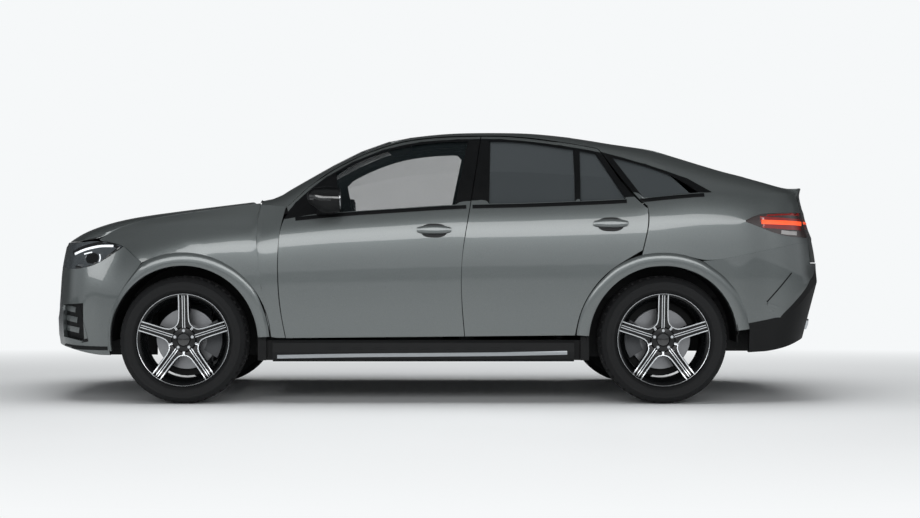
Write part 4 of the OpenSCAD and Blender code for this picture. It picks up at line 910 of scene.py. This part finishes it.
HEADLAMP_LINES = (
    ("headlamp_upper_rim", "lamp_rim", 0.030, 0.0022,
     ((-2.270, 0.918), (-2.200, 0.950), (-2.110, 0.974), (-2.030, 0.980), (-1.968, 0.962))),
    ("headlamp_lower_rim", "lamp_rim", 0.022, 0.0022,
     ((-1.962, 0.955), (-2.020, 0.905), (-2.085, 0.855), (-2.150, 0.832), (-2.240, 0.832))),
    ("headlamp_brow", "white_glow_and_painted_glint", 0.013, 0.0042,
     ((-2.255, 0.915), (-2.180, 0.944), (-2.090, 0.963), (-2.005, 0.964))),
    ("headlamp_dash_upper", "white_glow_and_painted_glint", 0.007, 0.0030,
     ((-2.190, 0.914), (-2.165, 0.921), (-2.140, 0.926))),
    ("headlamp_dash_low", "chrome", 0.006, 0.0030, ((-2.225, 0.848), (-2.205, 0.848), (-2.185, 0.849))),
    ("headlamp_bracket_front", "chrome", 0.006, 0.0036,
     ((-2.182, 0.870), (-2.184, 0.888), (-2.176, 0.908))),
    # The rear bracket glows white: a painted glint, not a lamp
    ("headlamp_bracket_rear_painted_glint", "white_glow_and_painted_glint", 0.006, 0.0036,
     ((-2.088, 0.868), (-2.084, 0.890), (-2.090, 0.914))),
)
TAIL_LAMP_LINES = (
    ("tail_red_field", "red_lens", 0.070, 0.0022,
     ((1.965, 1.112), (2.060, 1.106), (2.155, 1.100), (2.240, 1.096))),
    ("tail_red_brow", "red_lens", 0.018, 0.0022,
     ((2.010, 1.156), (2.090, 1.161), (2.170, 1.162), (2.236, 1.160))),
    ("tail_clear_field", "clear_lens", 0.024, 0.0022, ((2.100, 1.050), (2.155, 1.044), (2.205, 1.042))),
    ("tail_light_bar", "red_guide", 0.026, 0.0048,
     ((1.975, 1.112), (2.070, 1.109), (2.160, 1.106), (2.246, 1.102))),
)
NOSE_LINES = (
    ("intake_slot", "trim", 0.044, 0.0022,
     ((-2.234, 0.592), (-2.220, 0.540), (-2.196, 0.440), (-2.183, 0.372))),
    ("intake_blade_upper", "paint", 0.034, 0.006, ((-2.335, 0.582), (-2.295, 0.579), (-2.242, 0.571))),
    ("intake_blade_middle", "paint", 0.034, 0.006, ((-2.335, 0.520), (-2.290, 0.517), (-2.232, 0.508))),
    ("intake_blade_lower", "paint", 0.034, 0.006, ((-2.335, 0.458), (-2.285, 0.454), (-2.222, 0.444))),
    ("splitter_lip", "trim", 0.022, 0.006,
     ((-2.330, 0.345), (-2.230, 0.338), (-2.100, 0.334), (-2.000, 0.334))),
)
TAIL_LINES = (
    ("side_vent", "trim", 0.008, 0.0016, ((2.010, 0.622), (2.080, 0.700), (2.165, 0.800))),
    ("side_vent_edge", "paint", 0.018, 0.008, ((2.012, 0.612), (2.045, 0.602), (2.085, 0.588))),
)


def lay_line(skin, line, side):
    """A line on one side of the vehicle."""
    name, look, width, proud, points = line
    x, z = points[len(points) // 2]
    shape = ribbon([(px - x, pz - z) for px, pz in points], width, proud)
    lay(shape, skin, (x, SIDES[side], z), (0, -SIDES[side], 0), f"{name}_{side}", "body", look)


# Lamps, metres

PROJECTOR_SIZE = (0.078, 0.066)
PROJECTOR_PLACE = (-2.135, 0.888)
# Lines on the tailgate's lenses: span from the middle outwards and height; name, finish, width, how
# proud and how far above that height
GATE_LAMP_SPAN = (0.556, 0.738)
GATE_LAMP_Z = 1.10
GATE_LINES = (
    ("tailgate_red_", "red_lens", 0.062, 0.003, 0.0),
    ("tailgate_light_bar_", "red_guide", 0.016, 0.005, 0.008),
)
# End views look from this far along the vehicle
END_VIEW = 2.6


class VEHICLE_OT_lamps(bpy.types.Operator):
    """Headlamps and tail lamps"""

    bl_idname = "vehicle.lamps"
    bl_label = "Lamps"

    def execute(self, context):
        heads = dress("headlamps", "body", "headlamp_housings", "lamp_back")
        tails = dress("tail_lamps", "body", "tail_lamp_lenses", "smoked_lens")
        gates = dress("tailgate_lamps", "tailgate_lid", "tailgate_lenses", "smoked_lens")
        for skin, lines in ((Skin(heads), HEADLAMP_LINES), (Skin(tails), TAIL_LAMP_LINES)):
            for line in lines:
                for side in SIDES:
                    lay_line(skin, line, side)
        skin = Skin(heads)
        x, z = PROJECTOR_PLACE
        for side, sign in SIDES.items():
            lay(oval(*PROJECTOR_SIZE, 0.004, 0.2), skin, (x, sign, z), (0, -sign, 0),
                "headlamp_projector_" + side, "body", "gloss_black")
        skin = Skin(gates)
        low, high = GATE_LAMP_SPAN
        reach = (high - low) / 2
        for name, look, width, proud, rise in GATE_LINES:
            for side, sign in SIDES.items():
                line = ribbon([(-reach, rise), (0, rise), (reach, rise)], width, proud)
                lay(line, skin, (END_VIEW, sign * (low + reach), GATE_LAMP_Z), (-1, 0, 0), name + side,
                    "tailgate_lid", look)
        return {"FINISHED"}


# Nose and tail, metres

GRILLE_BARS = 5
GRILLE_BAR = ((-0.36, 0.0), (-0.15, 0.006), (0.15, 0.006), (0.36, 0.0))
GRILLE_VIEW = -2.4
GRILLE_LOW = 0.66
GRILLE_PITCH = 0.062
SENSOR_SIZE = 0.024
SENSORS = {"front": (-2.080, 0.470), "rear": (2.040, 0.560)}
EXHAUST_TRIM = ((-0.13, 0.0), (0.0, 0.006), (0.13, 0.0))
EXHAUST_PLACE = (2.4, 0.50, 0.47)
PLATE_TALL = 0.112
FRONT_PLATE_Z = 0.50
REAR_PLATE_Z = 0.86
# Wipers: name, distance from the middle and half length
WIPERS = (("driver", -0.33, 0.30), ("passenger", 0.30, 0.26))
WIPER_X = -1.6
WIPER_Z = 1.305
WINDSCREEN_WAY = (0.6, 0, -0.8)


class VEHICLE_OT_nose_and_tail(bpy.types.Operator):
    """Grille bars, bumper lines, parking sensors, exhaust trims, blank plates and wipers"""

    bl_idname = "vehicle.nose_and_tail"
    bl_label = "Nose and tail"

    def execute(self, context):
        grille = Skin(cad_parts["grille"])
        for k in range(GRILLE_BARS):
            place = (GRILLE_VIEW, 0, GRILLE_LOW + k * GRILLE_PITCH)
            lay(ribbon(GRILLE_BAR, 0.016, 0.012), grille, place, (1, 0, 0), f"grille_bar_{k}", "body",
                "gloss_black")
        nose = Skin(built["front_bumper"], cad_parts["grille"])
        tail = Skin(built["rear_bumper"], built["rear_valance"])
        valance = Skin(built["rear_valance"])
        for side, sign in SIDES.items():
            for skin, lines in ((nose, NOSE_LINES), (tail, TAIL_LINES)):
                for line in lines:
                    lay_line(skin, line, side)
            for skin, end in ((nose, "front"), (tail, "rear")):
                x, z = SENSORS[end]
                lay(oval(SENSOR_SIZE, SENSOR_SIZE, 0.0018, 0.2), skin, (x, sign, z), (0, -sign, 0),
                    f"parking_sensor_{end}_{side}", "body", "paint")
            x, y, z = EXHAUST_PLACE
            lay(ribbon(EXHAUST_TRIM, 0.055, 0.014, 20), valance, (x, sign * y, z), (-1, 0, 0),
                "exhaust_trim_" + side, "body", "chrome")
        half = sizes().plate_width / 2
        for name, skin, body, z, way in (
            ("front", nose, "body", FRONT_PLATE_Z, 1),
            ("rear", Skin(built["tailgate"]), "tailgate_lid", REAR_PLATE_Z, -1),
        ):
            lay(ribbon(((-half, 0.0), (half, 0.0)), PLATE_TALL, 0.004, 12), skin, (-way * END_VIEW, 0, z),
                (way, 0, 0), "blank_plate_" + name, body, "plate")
        glass = Skin(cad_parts["fixed_windows"])
        for name, y, reach in WIPERS:
            blade = ribbon(((-reach, 0.010), (0.0, 0.0), (reach, 0.014)), 0.014, 0.016)
            lay(blade, glass, (WIPER_X, y, WIPER_Z), WINDSCREEN_WAY, "wiper_blade_" + name, "body", "rubber")
        return {"FINISHED"}


# Cabin

SEAT_ROUNDING = 0.026
SEAT_FLAT = math.radians(2)
SEAT_EDGE = math.radians(20)


class VEHICLE_OT_seats(bpy.types.Operator):
    """Padded seats"""

    bl_idname = "vehicle.seats"
    bl_label = "Seats"

    def execute(self, context):
        for node in ("front_seats", "rear_seat"):
            bm = welded(node)
            bmesh.ops.dissolve_limit(bm, angle_limit=SEAT_FLAT, verts=bm.verts, edges=bm.edges)
            edges = [e for e in bm.edges if e.calc_face_angle(0) > SEAT_EDGE]
            bmesh.ops.bevel(
                bm, geom=edges, offset=SEAT_ROUNDING, offset_type="OFFSET", segments=3, profile=0.5,
                affect="EDGES", material=-1, clamp_overlap=True)
            for face in bm.faces:
                face.smooth = True
            seat = make_piece(bm, node + "_padding", "body", ["leather"], node)
        return {"FINISHED"}


# Studio

FLOOR_HALF = 40
# The floor fades into the hall between these distances, stretched along the vehicle
FADE = (1.2, 5.0)
FADE_STRETCH = (0.45, 1, 1)
# Soft lights: name, place, aim, size, watts, and whether they show in the paint
SOFTBOXES = (
    ("overhead_softbox", (0.3, -0.2, 6.0), (0.2, 0, 0.8), (8.0, 5.0), 430, False),
    ("side_softbox", (-0.3, -9.0, 3.95), (0, 0, 0.9), (13.0, 2.7), 430, True),
)
# Light of the hall by a ray's rise and by its turn to the far side
RANGE = ("From Min", "From Max", "To Min", "To Max")
HORIZON = dict(zip(RANGE, (0.20, 0.46, 0.92, 0.16)))
FAR_SIDE = dict(zip(RANGE, (-0.1, 0.4, 1.0, 0.07)))
WINDOW_LIGHT = "#e6eaed"
CAMERA_PLACE = (-0.095, -10.485, 0.896)
CAMERA_SHIFT = (0.0398, -0.002)
SENSOR_WIDTH = 36


def make_floor():
    """Sealed screed: pale and dull, fading into the white hall some metres away."""
    bm = bmesh.new()
    bmesh.ops.create_grid(bm, x_segments=4, y_segments=4, size=FLOOR_HALF)
    material = surface("sealed_screed", finish().floor, finish().floor, 0.45, 900)
    tree = material.node_tree
    shader = tree.nodes["Principled BSDF"]
    place = add_node(tree, "ShaderNodeTexCoord").outputs["Object"]
    spread = add_node(tree, "ShaderNodeMapping", {"Vector": place, "Scale": FADE_STRETCH}).outputs["Vector"]
    away = add_node(tree, "ShaderNodeVectorMath", {0: spread}, operation="LENGTH").outputs["Value"]
    fade = add_node(
        tree, "ShaderNodeMapRange", {"Value": away, "From Min": FADE[0], "From Max": FADE[1]}
    ).outputs["Result"]
    seen = add_node(tree, "ShaderNodeLightPath").outputs["Is Camera Ray"]
    share = add_node(tree, "ShaderNodeMath", {0: fade, 1: seen}, operation="MULTIPLY").outputs[0]
    white = add_node(tree, "ShaderNodeEmission", {"Color": linear(HALL), "Strength": 1.0}).outputs[0]
    blend = add_node(tree, "ShaderNodeMixShader", {0: share, 1: shader.outputs[0], 2: white}).outputs[0]
    tree.links.new(blend, tree.nodes["Material Output"].inputs["Surface"])
    add_object(bm, "studio_floor", [material])


def light_hall(scene):
    """A white hall to the eye; to the paint, bright windows round the horizon under a dim ceiling."""
    world = bpy.data.worlds.new("studio_light")
    world.use_nodes = True
    scene.world = world
    tree = world.node_tree
    tree.nodes.clear()
    path = add_node(tree, "ShaderNodeLightPath")
    seen = add_node(
        tree, "ShaderNodeMath",
        {0: path.outputs["Is Camera Ray"], 1: path.outputs["Is Transmission Ray"]}, operation="MAXIMUM")
    ray = add_node(tree, "ShaderNodeTexCoord").outputs["Generated"]
    way = add_node(tree, "ShaderNodeSeparateXYZ", {0: ray})
    band = add_node(
        tree, "ShaderNodeMapRange", {"Value": way.outputs["Z"], **HORIZON}, interpolation_type="SMOOTHSTEP"
    ).outputs["Result"]
    near = add_node(
        tree, "ShaderNodeMapRange", {"Value": way.outputs["Y"], **FAR_SIDE}).outputs["Result"]
    level = add_node(tree, "ShaderNodeMath", {0: band, 1: near}, operation="MULTIPLY").outputs[0]
    soft = add_node(tree, "ShaderNodeBackground", {"Color": linear(WINDOW_LIGHT), "Strength": level})
    white = add_node(tree, "ShaderNodeBackground", {"Color": linear(HALL), "Strength": 1.0})
    both = add_node(
        tree, "ShaderNodeMixShader", {0: seen.outputs[0], 1: soft.outputs[0], 2: white.outputs[0]})
    add_node(tree, "ShaderNodeOutputWorld", {"Surface": both.outputs[0]})


def hang_softboxes(scene):
    """Soft lights above the vehicle and beside it."""
    for name, place, aim, size, watts, mirrored in SOFTBOXES:
        light = bpy.data.lights.new(name, "AREA")
        light.shape = "RECTANGLE"
        light.size, light.size_y = size
        light.energy = watts
        lamp = bpy.data.objects.new(name, light)
        lamp.location = place
        lamp.visible_glossy = mirrored
        lamp.rotation_euler = (Vector(aim) - Vector(place)).to_track_quat("-Z", "Y").to_euler()
        scene.collection.objects.link(lamp)


def place_camera(scene):
    """The camera square to the vehicle's left side."""
    camera = bpy.data.cameras.new("side_camera")
    camera.sensor_width = SENSOR_WIDTH
    camera.lens = sizes().lens
    camera.shift_x, camera.shift_y = CAMERA_SHIFT
    eye = bpy.data.objects.new("side_camera", camera)
    eye.location = CAMERA_PLACE
    eye.rotation_euler = (math.pi / 2, 0, 0)
    scene.collection.objects.link(eye)
    scene.camera = eye


class VEHICLE_OT_studio(bpy.types.Operator):
    """Pale floor, soft light and camera"""

    bl_idname = "vehicle.studio"
    bl_label = "Studio"

    def execute(self, context):
        scene = context.scene
        scene.view_settings.view_transform = "Standard"
        make_floor()
        for make in (light_hall, hang_softboxes, place_camera):
            make(scene)
        return {"FINISHED"}


OPERATORS = (
    VEHICLE_OT_panels, VEHICLE_OT_frame_finish, VEHICLE_OT_wheels, VEHICLE_OT_shields,
    VEHICLE_OT_side_trim, VEHICLE_OT_lamps, VEHICLE_OT_nose_and_tail, VEHICLE_OT_seats, VEHICLE_OT_studio,
)


class VEHICLE_PT_sidebar(bpy.types.Panel):
    """The vehicle's pieces, in the order they are built"""

    bl_idname = "VEHICLE_PT_sidebar"
    bl_label = "Vehicle"
    bl_space_type = "VIEW_3D"
    bl_region_type = "UI"
    bl_category = "Vehicle"

    def draw(self, context):
        for group in (context.scene.vehicle_finish, context.scene.vehicle_sizes):
            for key in group.__annotations__:
                self.layout.prop(group, key)
        for operator in OPERATORS:
            self.layout.operator(operator.bl_idname)


CLASSES = (VehicleFinish, VehicleSizes, *OPERATORS, VEHICLE_PT_sidebar)


def register():
    for cls in CLASSES:
        bpy.utils.register_class(cls)
    bpy.types.Scene.vehicle_finish = PointerProperty(type=VehicleFinish)
    bpy.types.Scene.vehicle_sizes = PointerProperty(type=VehicleSizes)


def unregister():
    del bpy.types.Scene.vehicle_sizes
    del bpy.types.Scene.vehicle_finish
    for cls in reversed(CLASSES):
        bpy.utils.unregister_class(cls)


def main():
    register()
    bpy.ops.vehicle.panels()
    bpy.ops.vehicle.frame_finish()
    bpy.ops.vehicle.wheels()
    bpy.ops.vehicle.shields()
    bpy.ops.vehicle.side_trim()
    bpy.ops.vehicle.lamps()
    bpy.ops.vehicle.nose_and_tail()
    bpy.ops.vehicle.seats()
    bpy.ops.vehicle.studio()


if __name__ == "__main__":
    main()
